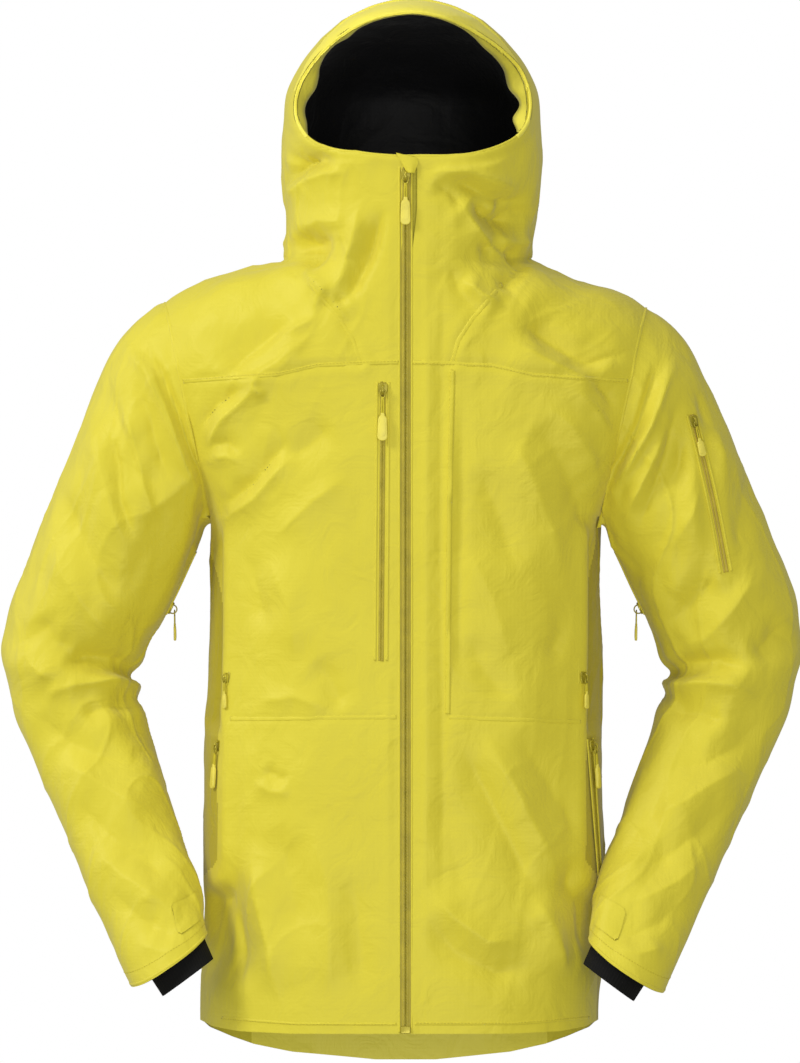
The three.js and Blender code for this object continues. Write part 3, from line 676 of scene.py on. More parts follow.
TORSO_FOLDS = strokes("""
# the wearer's right, from the shoulder down to the hem
-8 22 0.4  -110 744  -140 722  -162 704  -184 683
6 20 -0.3  -92 728  -124 702  -152 684  -176 664
-5 9 0.4  -152 682  -161 675  -190 655  -205 636  -207 600
4.5 8 -0.3  -140 678  -158 664  -182 642  -194 622  -198 598
4 7 0  -146 690  -150 672  -138 662
-3.5 8 0.2  -166 606  -178 618  -190 617  -206 603
3 7 0  -160 596  -176 606  -190 604  -204 592
-5 10 0.3  -116 624  -132 604  -152 579  -172 562  -190 558
4.5 11 -0.2  -108 610  -126 592  -150 564  -174 546  -192 540
-3 10 0  -118 716  -132 700  -156 690  -178 698
3 9 0  -84 748  -100 738  -124 726  -140 708
-4 22 0  -72 640  -96 616  -128 600
4 24 0  -56 588  -92 560  -134 520
-4 20 0.2  -168 520  -150 470  -138 430
3.5 22 0  -138 508  -116 456  -110 400
-3.5 16 0  -92 402  -76 384  -66 362  -56 352
3 12 0  -148 360  -110 366  -70 352
-3 10 0  -140 296  -126 286  -114 281
3 10 0  -150 282  -132 272  -112 270
-13 34 0.3  -192 214  -180 164  -168 118  -160 70
7 26 0  -152 226  -144 164  -130 108  -122 58
-4 26 0  -128 240  -112 180  -104 120
4 26 0  -96 250  -78 180  -74 110  -76 60
-3 20 0  -56 200  -46 130  -44 60
# the wearer's left
-8 22 -0.4  110 742  140 724  168 706  200 690
6 20 0.3  98 724  134 704  168 688  206 668
-5 9 -0.3  172 690  200 668  218 640  216 604
4.5 9 0.2  160 676  188 654  206 628  207 596
-3 8 0  150 700  176 694  206 706  226 700
3 9 0  140 656  166 634  186 604  196 566
-5 20 0  130 640  156 600  176 556  184 516
4 22 0  104 630  126 584  146 530  158 480
-4 24 0  70 600  94 548  112 490
3 24 0  60 520  86 460  106 400
-4 18 0  176 470  160 430  140 398
-3 18 0  62 430  80 390  108 360
-6 20 0.3  52 322  82 272  110 216  136 164
6 22 -0.2  76 330  108 276  136 222  160 176
-5 22 0  106 336  140 290  168 246  188 214
6 20 0  22 178  48 146  82 122  118 122
-5 20 0  20 150  50 112  92 92  136 100
6 20 0  130 170  150 130  166 86
-10 26 0  166 210  180 156  188 96
-3 26 0  40 280  46 220  62 160
# both sides of the storm flap
2.4 9 0  20 880  21 700  20 500  20 300  19 60
-1.8 8 0  36 860  37 700  36 500  37 300  36 90
1.6 7 0  -17 880  -16 700  -16 500  -17 300  -17 60
1.8 8 0  45 688  44 600  43 480  42 350
-1.8 9 0  56 684  56 590  54 470  52 360
1.6 6 0  -33 676  -33 560  -34 410
""")
SLEEVE_FOLDS = strokes("""
# the wearer's right
-7 9 0.5  -272 728  -246 692  -226 648  -211 604  -192 566
8 9 -0.3  -284 724  -256 688  -237 644  -222 600  -205 560
-4 12 0  -276 690  -258 650  -246 610  -230 570
5 12 0.2  -290 668  -272 626  -262 580  -248 540
-5 10 0.3  -298 640  -288 600  -284 560  -270 520
-6 20 0  -300 682  -286 636  -268 594  -250 556
6 24 0  -318 652  -304 606  -292 556  -276 506
-5 20 0  -346 580  -330 534  -306 490  -276 456
5 22 0  -352 530  -340 488  -312 446  -284 420
-7 18 0.2  -262 388  -286 400  -316 404  -344 398
6 16 0  -270 372  -298 380  -332 376  -362 366
-6 16 0  -266 358  -294 356  -326 346
-5 18 0  -366 448  -352 424  -330 410
5 20 0  -384 420  -368 396  -350 380
-5 22 0  -372 350  -340 322  -300 306  -262 300
5 22 0  -348 300  -318 288  -280 262  -250 248
-5 24 0  -334 266  -300 232  -262 206  -232 196
4 22 0  -312 216  -280 186  -250 168  -222 160
-4 20 0  -296 176  -266 146  -236 132  -210 140
4 16 0  -270 122  -240 112  -214 118
# the wearer's left
-7 9 -0.5  262 708  246 681  232 638  214 604  188 570
8 9 0.3  274 706  258 678  244 634  226 600  202 562
5 11 0  262 640  250 606  234 572  218 540
-5 11 0.2  272 660  260 612  246 572  230 530
-6 22 0  298 684  290 640  272 592  246 552
6 24 0  318 650  304 604  286 550  262 506
-4 20 0  344 600  338 550  330 500
-6 20 0  330 520  306 480  276 448  252 436
5 22 0  352 500  330 458  300 424  272 412
-7 16 -0.2  256 384  280 398  310 402  340 392
6 16 0  262 368  292 378  326 376  356 362
-6 16 0  256 352  290 350  322 340
-5 20 0  380 440  362 418  344 406
-5 24 0  366 350  336 318  300 300  256 296
5 22 0  340 296  310 282  276 258  244 244
-5 24 0  326 260  290 228  254 204  226 196
4 22 0  300 208  270 182  240 166  214 160
-4 20 0  284 168  254 142  226 130  202 138
4 16 0  260 118  232 110  206 116
""")


def line_distance(points, line):
    """Distance in the front view to a run of straight lines, and how far along it the foot lies."""
    flat, line = points[:, [0, 2]], np.array(line, float)
    best = np.full(len(flat), 1e9)
    for a, b in zip(line[:-1], line[1:]):
        t = np.clip((flat - a) @ (b - a) / ((b - a) @ (b - a)), 0, 1)
        best = np.minimum(best, np.linalg.norm(flat - a - t[:, None] * (b - a), axis=1))
    return best


CHEST_ZIP = ((-22.5, 679), (-24.5, 402))
HAND_ZIP = ((184, 324), (194, 188))
SIDE_ZIP = ((176, 515), (176, 378))
ARM_ZIP = ((2.45, -51), (5.6, -77))  # slice number and degrees from the sleeve's outer edge
PIT_ZIP = ((3.5, 180), (5.8, 180))


def quiet_by_zips(points):
    """0 on the body's zips, 1 away from them."""
    gap = line_distance(points, CHEST_ZIP)
    for line in (HAND_ZIP, SIDE_ZIP):
        for side in (1, -1):
            gap = np.minimum(gap, line_distance(points, np.array(line) * (side, 1)))
    near = 1 - smooth(gap, 7, 26)
    return 1 - near * (points[:, 1] < 0)


def folded(points, normals, strokes, seed, amplitude):
    """How far each point moves out along its normal, in millimetres."""
    front = -normals[:, 1]
    height = fold(points, front, strokes)
    mirrored = points * (-1, 1, 1)
    height += 0.8 * fold(mirrored, -front, strokes)
    soft = waves(points, seed, 26, 190, 90, (1, 1, 1.6))
    large = facets(points, seed + 20, 6, 100, 46, (1, 1, 1.7))
    small = facets(points, seed + 40, 6, 48, 22, (1, 1, 1.5))
    lines = creases(points, seed + 60, 150, 60, (1, 1, 2.4), 5)
    crumple = busy(points)
    height += amplitude * (0.6 * soft + crumple * (1.9 * large + 0.6 * small + 1.3 * lines))
    return height


def seam_groove(points, normals):
    """The dip along the body's seams."""
    total = np.zeros(len(points))
    front = normals[:, 1] < 0.1
    for side in (1, -1):
        for line in (YOKE_SEAM, NECK_SEAM):
            gap = line_distance(points, line * (side, 1))
            total -= 0.9 * bell(gap, 0, 3.5) * front
            total += 0.6 * bell(gap, 9, 6) * front
    waist = line_distance(points, [(-170, 344), (-6, 346)])
    waist = np.minimum(waist, line_distance(points, [(44, 346), (176, 341)]))
    total -= 0.8 * bell(waist, 0, 3.5) * front
    return total


def lean(points):
    """How the jacket lies a little askew: its hem to the wearer's right, and its left shoulder low."""
    x, z = points[..., 0], points[..., 2]
    moved = points.copy()
    hips = 2.2 * smooth(z, 450, 300) + 4 * smooth(z, 130, 50)
    moved[..., 0] -= 0.4 * smooth(z, 800, 850) + hips * smooth(np.abs(x), 40, 150)
    drop = np.where(x > 0, 5.5 - 4 * smooth(x, 175, 215), -4)
    moved[..., 2] -= drop * smooth(np.abs(x), 125, 170) * smooth(z, 690, 740)
    return moved


def shape_body(grid):
    """The body's grid with its folds."""
    base = grid.reshape(-1, 3)
    normals = open_normals(grid).reshape(-1, 3)
    z = base[:, 2]
    height = folded(base, normals, HOOD_FOLDS + TORSO_FOLDS, 3, 0.9)
    height *= quiet_by_zips(base)
    height += seam_groove(base, normals)
    # The cloth lies quiet at the hem, beside the zip and round the hood's stiff brim.
    quiet = smooth(z - hem_height(base[:, 0], base[:, 1]), 0, 60) * 0.75 + 0.25
    front = base[:, 1] < 0
    quiet *= np.where(front, 0.35 + 0.65 * smooth(np.abs(base[:, 0]), 4, 34), 1)
    opening = np.where(front, opening_field(base), -50)
    quiet *= 0.25 + 0.75 * smooth(-opening, 4, 30)
    quiet *= 1 - 0.6 * smooth(z, 1025, 1050)
    quiet *= smooth(-armhole_field(base), 0, 26)
    height *= quiet
    # rolled edge of the hood's opening, and its brim's padding
    height += 2.0 * smooth(-opening, 16, 4) * smooth(-opening, 0, 2) * (z > 880)
    # the front panels stand over the side panels, whose cloth is folded back
    wide = np.abs(base[:, 0])
    at_side = front * smooth(z, 545, 515) * smooth(z, 60, 130)
    height += at_side * 2.5 * bell(wide, 177, 6)
    out = base + normals * height[:, None]
    tuck = at_side * smooth(wide, 180, 186) * smooth(-base[:, 1], 0, 30) * smooth(z, 326, 345)
    out[:, 1] += 16 * tuck
    out[:, 0] -= np.sign(base[:, 0]) * 4 * tuck * smooth(-base[:, 1], 20, 60)
    out[:, 0] = np.where((np.abs(base[:, 0]) < 12) & front, base[:, 0], out[:, 0])
    return lean(out).reshape(grid.shape)


# ---- cloth with thickness ----


def skin(name, points, normals, faces, thickness, materials, inner_slot=1):
    """Cloth between its outer face and one thickness inside it, with the given normals.

    inner_slot is the material slot of the inner face: a number, or one for every face.
    """
    points, normals = points.reshape(-1, 3), normals.reshape(-1, 3)
    used, index = np.unique(faces, return_inverse=True)
    index = index.reshape(faces.shape)
    p, n = points[used], normals[used]
    flat = np.cross(p[index[:, 1]] - p[index[:, 0]], p[index[:, 3]] - p[index[:, 0]])
    if (flat * n[index[:, 0]]).sum() < 0:
        index = index[:, ::-1]
    count = len(p)
    outer = index.tolist()
    inner = (index[:, ::-1] + count).tolist()
    edges = np.concatenate([index[:, [k, (k + 1) % 4]] for k in range(4)])
    edges = edges[edges[:, 0] != edges[:, 1]]
    key = edges[:, 0] * count + edges[:, 1]
    back = edges[:, 1] * count + edges[:, 0]
    border = edges[~np.isin(key, back)]
    rim = np.stack([border[:, 1], border[:, 0], border[:, 0] + count, border[:, 1] + count], 1).tolist()
    verts = np.concatenate([p, p - n * thickness])
    obj = make_object(name, verts, outer + inner + rim, materials)
    slots = np.zeros(len(outer) + len(inner) + len(rim), int)
    slots[len(outer) : len(outer) + len(inner)] = inner_slot
    obj.data.polygons.foreach_set("material_index", slots)
    own = np.concatenate([n, -n])
    obj.data.normals_split_custom_set_from_vertices(own.tolist())
    return obj


# ---- body pieces ----


def above_band(points, rise):
    """Above 0 on the hood's side of a plane that slopes down from the chin to the nape."""
    level = points[..., 2] * math.cos(BAND_SLOPE) + points[..., 1] * math.sin(BAND_SLOPE)
    return level - (CHIN_Z * math.cos(BAND_SLOPE) - FRONT_TOP_DEPTH * math.sin(BAND_SLOPE) + rise)


def region_of(centres):
    """Which CAD node the cloth at each point belongs to."""
    x, y, z = centres.T
    wide = np.abs(x)
    front = y < 0
    neck_z = np.interp(wide, NECK_SEAM[:, 0], NECK_SEAM[:, 1])
    yoke_z = np.interp(wide, YOKE_SEAM[:, 0], YOKE_SEAM[:, 1])
    in_neck = np.where(front, z > neck_z, z > 790)
    in_yoke = np.where(front, (z > yoke_z) & (wide > 46), z > 690) & ~in_neck
    side = np.where(x < 0, "right", "left")
    name = np.where(front, np.char.add("front_panel_", side), "back_panel")
    fold_edge = np.where(x < 0, 185, 181) + 12 * smooth(z, 440, 540) + 16 * smooth(z, 205, 182)
    at_side = np.where(front, wide > fold_edge, wide > BACK_SEAM_X) & (z < SIDE_PANEL_TOP)
    name = np.where(at_side, np.char.add("side_panel_", side), name)
    name = np.where(in_yoke, np.char.add("yoke_", side), name)
    name = np.where(in_neck, "collar", name)
    name = np.where(in_neck & (above_band(centres, 0) > 0), "hood_band", name)
    name = np.where(in_neck & (above_band(centres, BAND_HEIGHT) > 0), "hood_crown", name)
    name = np.where(in_neck & (y < -BRIM_BACK) & (z > BRIM_END_Z), "hood_brim", name)
    return name


base_grid = make_body()
fields = (opening_field(base_grid), armhole_field(base_grid))
shaped = shape_body(base_grid)
body_normals = open_normals(shaped)
cut, kept = cut_grid(shaped, fields)
rows, columns = cut.shape[:2]
body_faces = sheet_faces(rows, columns)[kept.reshape(-1)]
# Above the zip the two edges of the front are one.
right_edge = (np.arange(rows) * columns + columns - 1)[base_grid[:, 0, 2] > ZIP_TOP_Z + 3]
weld = np.arange(rows * columns)
weld[right_edge] = right_edge - (columns - 1)
body_faces = weld[body_faces]
centres = base_grid.reshape(-1, 3)[body_faces].mean(1)
regions = region_of(centres)
points, normals = cut.reshape(-1, 3), body_normals.reshape(-1, 3)

BODY_OF = {"hood_crown": "hood", "hood_brim": "hood"}
for name in np.unique(regions):
    faces = body_faces[regions == name]
    z = points[faces].mean(1)[:, 2]
    low = z - hem_height(*points[faces].mean(1)[:, :2].T)
    yellow_inside = (low < 46) | (name == "hood_brim")
    # painted light: the back panel's inside at the hem takes the lighter copy of the shell cloth, for light
    # reaching it under the front
    inner = LIT_SHELL if name == "back_panel" else SHELL
    # painted shade: the side panels' outside takes the darker copy of the shell cloth; the brim's outside takes the
    # lighter copy, a painted highlight
    outer = LIT_SHELL if name == "hood_brim" else SHADED_SHELL if name.startswith("side_panel") else SHELL
    slots = np.where(yellow_inside, 2, 1)
    piece = skin(f"{name}_cloth", points, normals, faces, 1.1, [outer, LINING, inner], slots)
    if name == "hood_band":
        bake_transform(piece)
        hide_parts("hood_band")
    else:
        slot = "brim_cloth" if name == "hood_brim" else "shell_cloth"
        finish_piece(piece, BODY_OF.get(str(name), "jacket"), slot, str(name))

# ---- sleeves ----

# The inner and the outer edge in the front view, the depth of the middle and half the thickness.
SLEEVE_SLICES = np.array([
    (195, 547, 240, 757, 5, 74), (199, 536, 269, 737, 5, 76), (202, 527, 293, 699, 5, 76),
    (206, 517, 317, 647, 6, 75), (213, 503, 341, 592, 8, 73), (226, 474, 362, 540, 12, 71),
    (242, 442, 381, 493, 18, 69), (257, 408, 395, 452, 24, 67), (268, 387, 399, 420, 26, 65),
    (263, 376, 396, 392, 24, 62), (259, 362, 388, 356, 18, 60), (252, 338, 375, 322, 11, 57),
    (240, 300, 355, 276, -6, 54), (227, 262, 337, 234, -24, 52), (213, 220, 316, 184, -46, 49),
    (201, 178, 296, 138, -68, 46), (192, 130, 267, 78, -97, 42),
])  # fmt: skip
LAST = 16
HEAD_REACH = 58  # millimetres from the armhole's plane to where the sleeve follows the arm alone
ELBOW_TOP, ELBOW_BOTTOM = 6.6, 11
AROUND_SLEEVE = 200


def at_slice(n):
    """A sleeve's slice at each fractional number, with a soft change between slices."""
    fine = np.linspace(0, LAST, 1601)
    table = columns_at(fine, np.arange(LAST + 1), SLEEVE_SLICES)
    kernel = np.exp(-0.5 * (np.arange(-90, 91) / 32) ** 2)
    kernel /= kernel.sum()
    padded = np.concatenate([2 * table[:1] - table[90:0:-1], table, 2 * table[-1:] - table[-2:-92:-1]])
    soft = np.stack([np.convolve(padded[:, k], kernel, mode="valid") for k in range(6)], 1)
    return columns_at(n, fine, soft)


def body_section(side):
    """The body's outline in the armhole's plane, at each angle of the sleeve."""
    (x0, z0), (x1, z1) = ARMHOLE
    angle = circle(AROUND_SLEEVE)
    middle = np.array(((x0 + x1) / 2, 5, (z0 + z1) / 2))
    ray = np.cos(angle)[:, None] * ((x1 - x0) / 2, 0, (z1 - z0) / 2) + np.sin(angle)[:, None] * (0, 74, 0)
    low, high = np.full(len(angle), 0.3), np.full(len(angle), 1.8)
    for _ in range(30):
        mid = (low + high) / 2
        p = middle + mid[:, None] * ray
        half, front, back, square, shift = body_shape(p[:, 2])
        depth = np.where(p[:, 1] < 0, front, back)
        inside = (p[:, 0] / half) ** square + (np.abs(p[:, 1]) / depth) ** square < 1
        inside &= p[:, 2] > 535
        low, high = np.where(inside, mid, low), np.where(inside, high, mid)
    p = middle + low[:, None] * ray
    return p * (side, 1, 1)


def slice_rings(s, across, deep):
    """Rings of slices: across is -1 at the inner edge and 1 at the outer, and deep -1 before and 1 behind."""
    x = ((s[..., 0] + s[..., 2]) + (s[..., 2] - s[..., 0]) * across) / 2
    z = ((s[..., 1] + s[..., 3]) + (s[..., 3] - s[..., 1]) * across) / 2
    return np.stack([x, s[..., 4] + s[..., 5] * deep, z], -1)


def sleeve_base(side):
    """A sleeve's smooth surface, with the slice number of each ring."""
    fine = np.linspace(0, LAST, 3201)
    s = at_slice(fine)
    middle = np.stack([(s[:, 0] + s[:, 2]) / 2, s[:, 4], (s[:, 1] + s[:, 3]) / 2], 1)
    steps = distances(middle)
    count = int(steps[-1] / STEP)
    n = np.interp(np.linspace(0, steps[-1], count + 1), steps, fine)
    s = at_slice(n)[:, None, :]
    angle = circle(AROUND_SLEEVE)[None]
    across = np.cos(angle)
    grid = slice_rings(s, across, np.sin(angle)) * (side, 1, 1)
    share = smooth(n, 0, 1.5)[:, None, None]
    grid = body_section(side)[None] * (1 - share) + grid * share
    grid[..., 2] -= (1.5 if side > 0 else -4) * smooth(n, 1.6, 0)[:, None] * smooth(grid[..., 2], 690, 740)
    if side < 0:  # the right shoulder is the fuller one
        bulge = 7 * bell(n, 1.6, 1.5)[:, None] * smooth(n, 0, 0.7)[:, None] * np.maximum(across, 0)
        grid[..., 0] -= 0.8 * bulge
        grid[..., 2] += 0.6 * bulge
    # The cuff's front reaches further down than its back.
    along = np.gradient(grid.mean(1), axis=0)
    along /= np.linalg.norm(along, axis=1, keepdims=True)
    lead = 8 * smooth(n, 13.5, 16)[:, None] * -np.sin(angle)
    grid += lead[..., None] * along[:, None]
    # The arms hang a little to the wearer's right, more on the left arm.
    reach = smooth(n, 5.6, 8.4)
    if side < 0:
        grid[..., 0] -= 6 * reach[:, None]
    else:
        grid[..., 0] -= (3.5 * reach + 2 * smooth(n, 9, 13) + 4 * smooth(n, 13, 16))[:, None]
        grid[..., 2] -= 6 * smooth(n, 14, 16)[:, None]
    return n, grid


def closed_normals(grid, side):
    around = np.roll(grid, -1, 1) - np.roll(grid, 1, 1)
    down = np.gradient(grid, axis=0)
    return unit(np.cross(around, down) * -side)


def shape_sleeve(grid, n, side):
    base = grid.reshape(-1, 3)
    normals = closed_normals(grid, side).reshape(-1, 3)
    number = np.repeat(n, AROUND_SLEEVE)
    height = folded(base, normals, SLEEVE_FOLDS, 11 if side < 0 else 31, 1.25)
    # bunched cloth in the crook of the elbow
    bend = bell(number, 8.7, 2.0)
    inner = smooth(-normals[:, 0] * side, -0.4, 0.8)
    height += 3.4 * bend * inner * np.sin(number * 3.7 + 0.02 * base[:, 1] * side)
    height += 1.6 * bend * (1 - inner) * np.sin(number * 3.1 + 0.03 * base[:, 1])
    # the seam round the armhole
    height -= 1.2 * bell(number, 0, 0.05)
    degrees = np.tile(np.degrees(circle(AROUND_SLEEVE)), len(n))
    quiet = 0.2 + 0.8 * smooth(number, 0, 0.8)
    for (first, a0), (last, a1) in (ARM_ZIP, PIT_ZIP) if side > 0 else (PIT_ZIP,):
        turn = np.abs((degrees - np.interp(number, (first, last), (a0, a1)) + 180) % 360 - 180)
        beyond = np.maximum(np.maximum(first - number, number - last), 0) * 45
        quiet *= smooth(np.hypot(turn * 1.5, beyond), 8, 30)
    quiet *= 0.35 + 0.65 * smooth(number, 16, 15.2)
    out = base + normals * (height * quiet)[:, None]
    return out.reshape(grid.shape)


def sleeve_middle(n, side):
    s = at_slice(n)
    return np.array(((s[0] + s[2]) / 2 * side, s[4], (s[1] + s[3]) / 2))


def share_between(points, first, last):
    """0 in the plane of the first point and 1 in that of the last; the planes stand across the line between."""
    along = last - first
    return (points - first) @ along / (along @ along)


def head_ends(side):
    """Two points on a line square to the armhole's plane: close to it, and HEAD_REACH from it."""
    (x0, z0), (x1, z1) = ARMHOLE
    outward = unit(np.array((side * (z1 - z0), 0, x0 - x1), float))
    at_armhole = np.array((side * x0, 0, z0), float)
    return at_armhole + 3 * outward, at_armhole + HEAD_REACH * outward


sleeves = {}
for side, word in ((-1, "right"), (1, "left")):
    n, grid = sleeve_base(side)
    shaped_sleeve = shape_sleeve(grid, n, side)
    sleeve_normals = closed_normals(shaped_sleeve, side)
    sleeves[word] = (n, shaped_sleeve, sleeve_normals)
    faces = grid_faces(len(n), AROUND_SLEEVE)
    if side > 0:
        faces = faces[:, ::-1]
    number = ((n[:-1] + n[1:]) / 2)[:, None].repeat(AROUND_SLEEVE, 1).reshape(-1)
    centres_s = grid.reshape(-1, 3)[faces].mean(1)
    head = head_ends(side)
    elbow = sleeve_middle(ELBOW_TOP, side), sleeve_middle(ELBOW_BOTTOM, side)
    in_head = (share_between(centres_s, *head) < 1) & (number < 8)
    down = share_between(centres_s, *elbow)
    for name, chosen in (
        ("sleeve_head", in_head),
        ("sleeve_upper", ~in_head & (down < 0)),
        ("sleeve_elbow", ~in_head & (down >= 0) & (down < 1)),
        ("sleeve_lower", ~in_head & (down >= 1)),
    ):
        inside = np.where((number[chosen] > 15.35) | (name == "sleeve_head"), 2, 1)
        colors = [SHELL, LINING, SHELL]
        piece = skin(f"{name}_{word}_cloth", shaped_sleeve, sleeve_normals, faces[chosen], 1.1, colors, inside)
        if name == "sleeve_head":
            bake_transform(piece)
        elif name == "sleeve_elbow":
            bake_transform(piece)
        else:
            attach(piece, f"upper_arm_{word}" if name == "sleeve_upper" else f"forearm_{word}")
        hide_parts(f"{name}_{word}")

# ---- things swept along a path ----


def frames_along(path, outs):
    """Along, across and outward directions at each point of a path."""
    along = unit(np.gradient(path, axis=0))
    across = unit(np.cross(outs, along))
    return along, across, unit(np.cross(along, across))


def sweep(name, path, outs, profile, material):
    """A closed profile of (across, outward) points drawn along a path, with capped ends."""
    _, across, out = frames_along(path, outs)
    profile = np.array(profile, float)
    grid = path[:, None] + profile[None, :, :1] * across[:, None] + profile[None, :, 1:] * out[:, None]
    rows, columns = grid.shape[:2]
    faces = grid_faces(rows, columns).tolist()
    faces.append(list(range(columns))[::-1])
    faces.append([(rows - 1) * columns + k for k in range(columns)])
    return face_outward(make_object(name, grid.reshape(-1, 3), faces, material))


def oval(width, height, lift=0.0, count=10, power=2.6):
    a = circle(count)
    c, s = np.cos(a), np.sin(a)
    across = width / 2 * np.sign(c) * np.abs(c) ** (2 / power)
    return np.stack([across, lift + height / 2 * np.sign(s) * np.abs(s) ** (2 / power)], 1)


def resample_path(path, outs, pitch):
    steps = distances(path)
    at = np.arange(0, steps[-1], pitch)
    return columns_at(at, steps, path), unit(columns_at(at, steps, outs))


# A small bead with its corners drawn in, for coils and stitches.
BEAD_RINGS = [(-1, 0.55), (-0.45, 1), (0.45, 1), (1, 0.55)]


def beads(name, places, across, out, along, sizes, material):
    """Many small beads: sizes are their half lengths across, outward and along."""
    ring = 2 * math.pi * (np.arange(6) + 0.5) / 6
    local = np.array([(a, w * math.cos(t), w * math.sin(t)) for a, w in BEAD_RINGS for t in ring])
    local = local * np.array(sizes)
    verts = (
        places[:, None]
        + local[None, :, :1] * across[:, None]
        + local[None, :, 1:2] * out[:, None]
        + local[None, :, 2:] * along[:, None]
    )
    faces = grid_faces(len(BEAD_RINGS), 6).tolist() + [[5, 4, 3, 2, 1, 0], [18, 19, 20, 21, 22, 23]]
    all_faces = []
    for k in range(len(places)):
        all_faces += [[v + 24 * k for v in f] for f in faces]
    return make_object(name, verts.reshape(-1, 3), all_faces, material)


def tube(name, path, radius, material, sides=10):
    """A round tube along a run of points, in garment millimetres."""
    path = np.asarray(path, float)
    along = unit(np.gradient(path, axis=0))
    up = np.array((0.31, 0.2, 0.93))
    across = unit(np.cross(along, up))
    out = np.cross(across, along)
    ring = circle(sides)[None, :, None]
    grid = path[:, None] + radius * (np.cos(ring) * across[:, None] + np.sin(ring) * out[:, None])
    rows = len(path)
    faces = grid_faces(rows, sides).tolist()
    faces += [list(range(sides))[::-1], [(rows - 1) * sides + k for k in range(sides)]]
    return face_outward(make_object(name, grid.reshape(-1, 3), faces, material))


def join(name, parts):
    """One object out of several."""
    bpy.ops.object.select_all(action="DESELECT")
    for part in parts:
        part.select_set(True)
    bpy.context.view_layer.objects.active = parts[0]
    bpy.ops.object.join()
    parts[0].name = name
    return parts[0]


def rounded_block(name, place, axes, outline, thickness, bevel, material):
    """A plate with an outline of (across, along) points, and rounded edges."""
    across, out, along = axes
    outline = np.array(outline, float)
    count = len(outline)
    flat = place + outline[:, :1] * across + outline[:, 1:] * along
    verts = np.concatenate([flat + out * thickness / 2, flat - out * thickness / 2])
    faces = [list(range(count)), list(range(2 * count - 1, count - 1, -1))]
    faces += [[k, k + count, (k + 1) % count + count, (k + 1) % count] for k in range(count)]
    obj = face_outward(make_object(name, verts, faces, material))
    mod = obj.modifiers.new("edge", "BEVEL")
    mod.width = bevel / 1000
    mod.segments = 3
    mod.limit_method = "ANGLE"
    mod.angle_limit = math.radians(50)
    graph = bpy.context.evaluated_depsgraph_get()
    mesh = bpy.data.meshes.new_from_object(obj.evaluated_get(graph))
    obj.modifiers.clear()
    obj.data = mesh
    obj.data.polygons.foreach_set("use_smooth", [True] * len(obj.data.polygons))
    return obj


def rounded_outline(width, length, corner, taper=0.0, count=6):
    """A rounded rectangle of (across, along) points from along 0 to length; taper narrows its start."""
    points = []
    for cx, cy, start in (
        (width / 2 - corner, length - corner, 0),
        (-width / 2 + corner, length - corner, 90),
        (-width / 2 + corner, corner, 180),
        (width / 2 - corner, corner, 270),
    ):
        for k in range(count + 1):
            a = math.radians(start + 90 * k / count)
            points.append([cx + corner * math.cos(a), cy + corner * math.sin(a)])
    points = np.array(points)
    points[:, 0] *= 1 - taper * (1 - points[:, 1] / length)
    return points


# ---- zips ----


def front_point(x, z):
    half, front, back, square, shift = body_shape(z)
    share = np.clip(np.abs((x - shift) / half), 0, 0.9999)
    return np.stack([x, -front * (1 - share**square) ** (1 / square), z], -1)


def front_frame(x, z):
    """Points of the front's smooth surface, and their outward normals."""
    sideways = front_point(x + 1, z) - front_point(x - 1, z)
    upward = front_point(x, z + 1) - front_point(x, z - 1)
    return front_point(x, z), unit(np.cross(sideways, upward))


def front_path(top, bottom):
    t = np.linspace(0, 1, 160)
    return front_frame(top[0] + (bottom[0] - top[0]) * t, top[1] + (bottom[1] - top[1]) * t)


def on_sleeve(word, number, degrees):
    """A sleeve's cloth and its normals, at slice numbers and at degrees round from the outer edge."""
    n, grid, normals = sleeves[word]
    row = np.interp(number, n, np.arange(len(n)))
    column = degrees / 360 % 1 * AROUND_SLEEVE
    r, c = np.minimum(row.astype(int), len(n) - 2), column.astype(int)
    down, round_it = (row - r)[..., None], (column - c)[..., None]
    after, c = (c + 1) % AROUND_SLEEVE, c % AROUND_SLEEVE

    def at(table):
        near = table[r, c] * (1 - round_it) + table[r, after] * round_it
        far = table[r + 1, c] * (1 - round_it) + table[r + 1, after] * round_it
        return near * (1 - down) + far * down

    return at(grid), unit(at(normals))


def sleeve_path(top, bottom, word):
    t = np.linspace(0, 1, 90)
    return on_sleeve(word, top[0] + (bottom[0] - top[0]) * t, top[1] + (bottom[1] - top[1]) * t)


def cad_points(name):
    obj = frame["nodes"][name]
    matrix = np.array(obj.matrix_world)
    flat = np.empty(3 * len(obj.data.vertices))
    obj.data.vertices.foreach_get("co", flat)
    world = flat.reshape(-1, 3) @ matrix[:3, :3].T + matrix[:3, 3]
    return from_row(world)


def make_strip(name, path, outs, body, width=11.6, teeth=True, film=TAPE, sunk=0.5, lips=True, coil=COIL):
    """The tape and coil of a zip, and the edges of the cloth's slot beside it."""
    half = width / 2
    flat = [(-half, -0.3), (half, -0.3), (half, 0.25), (-half, 0.25)]
    parts = [sweep(name + "_tape", path - sunk * outs, outs, flat, film)]
    along, across, out = frames_along(path, outs)
    for side in (-1, 1):  # the stitched fold that each row of the coil lies in
        track = path + side * 1.55 * across - (sunk - 0.5) * out
        parts.append(sweep(name + "_track", track, outs, oval(2.5, 1.1), film))
    if teeth:
        spots, normals = resample_path(path, outs, 1.45)
        a, x, o = frames_along(spots, normals)
        for side in (-1, 1):
            shift = 0.36 if side > 0 else -0.36
            places = spots + side * 1.15 * x + shift * a + (0.95 - sunk) * o
            parts.append(beads(name + "_coil", places, x, o, a, (1.35, 0.55, 0.42), coil))
    if lips:
        for side in (-1, 1):
            edge = path + side * (half + 0.7) * across + 0.15 * out
            parts.append(sweep(name + "_lip", edge, outs, oval(2.6, 1.5), SHELL))
    piece = join(name + "_strip", parts)
    return finish_piece(piece, body, "zip_tape", name)


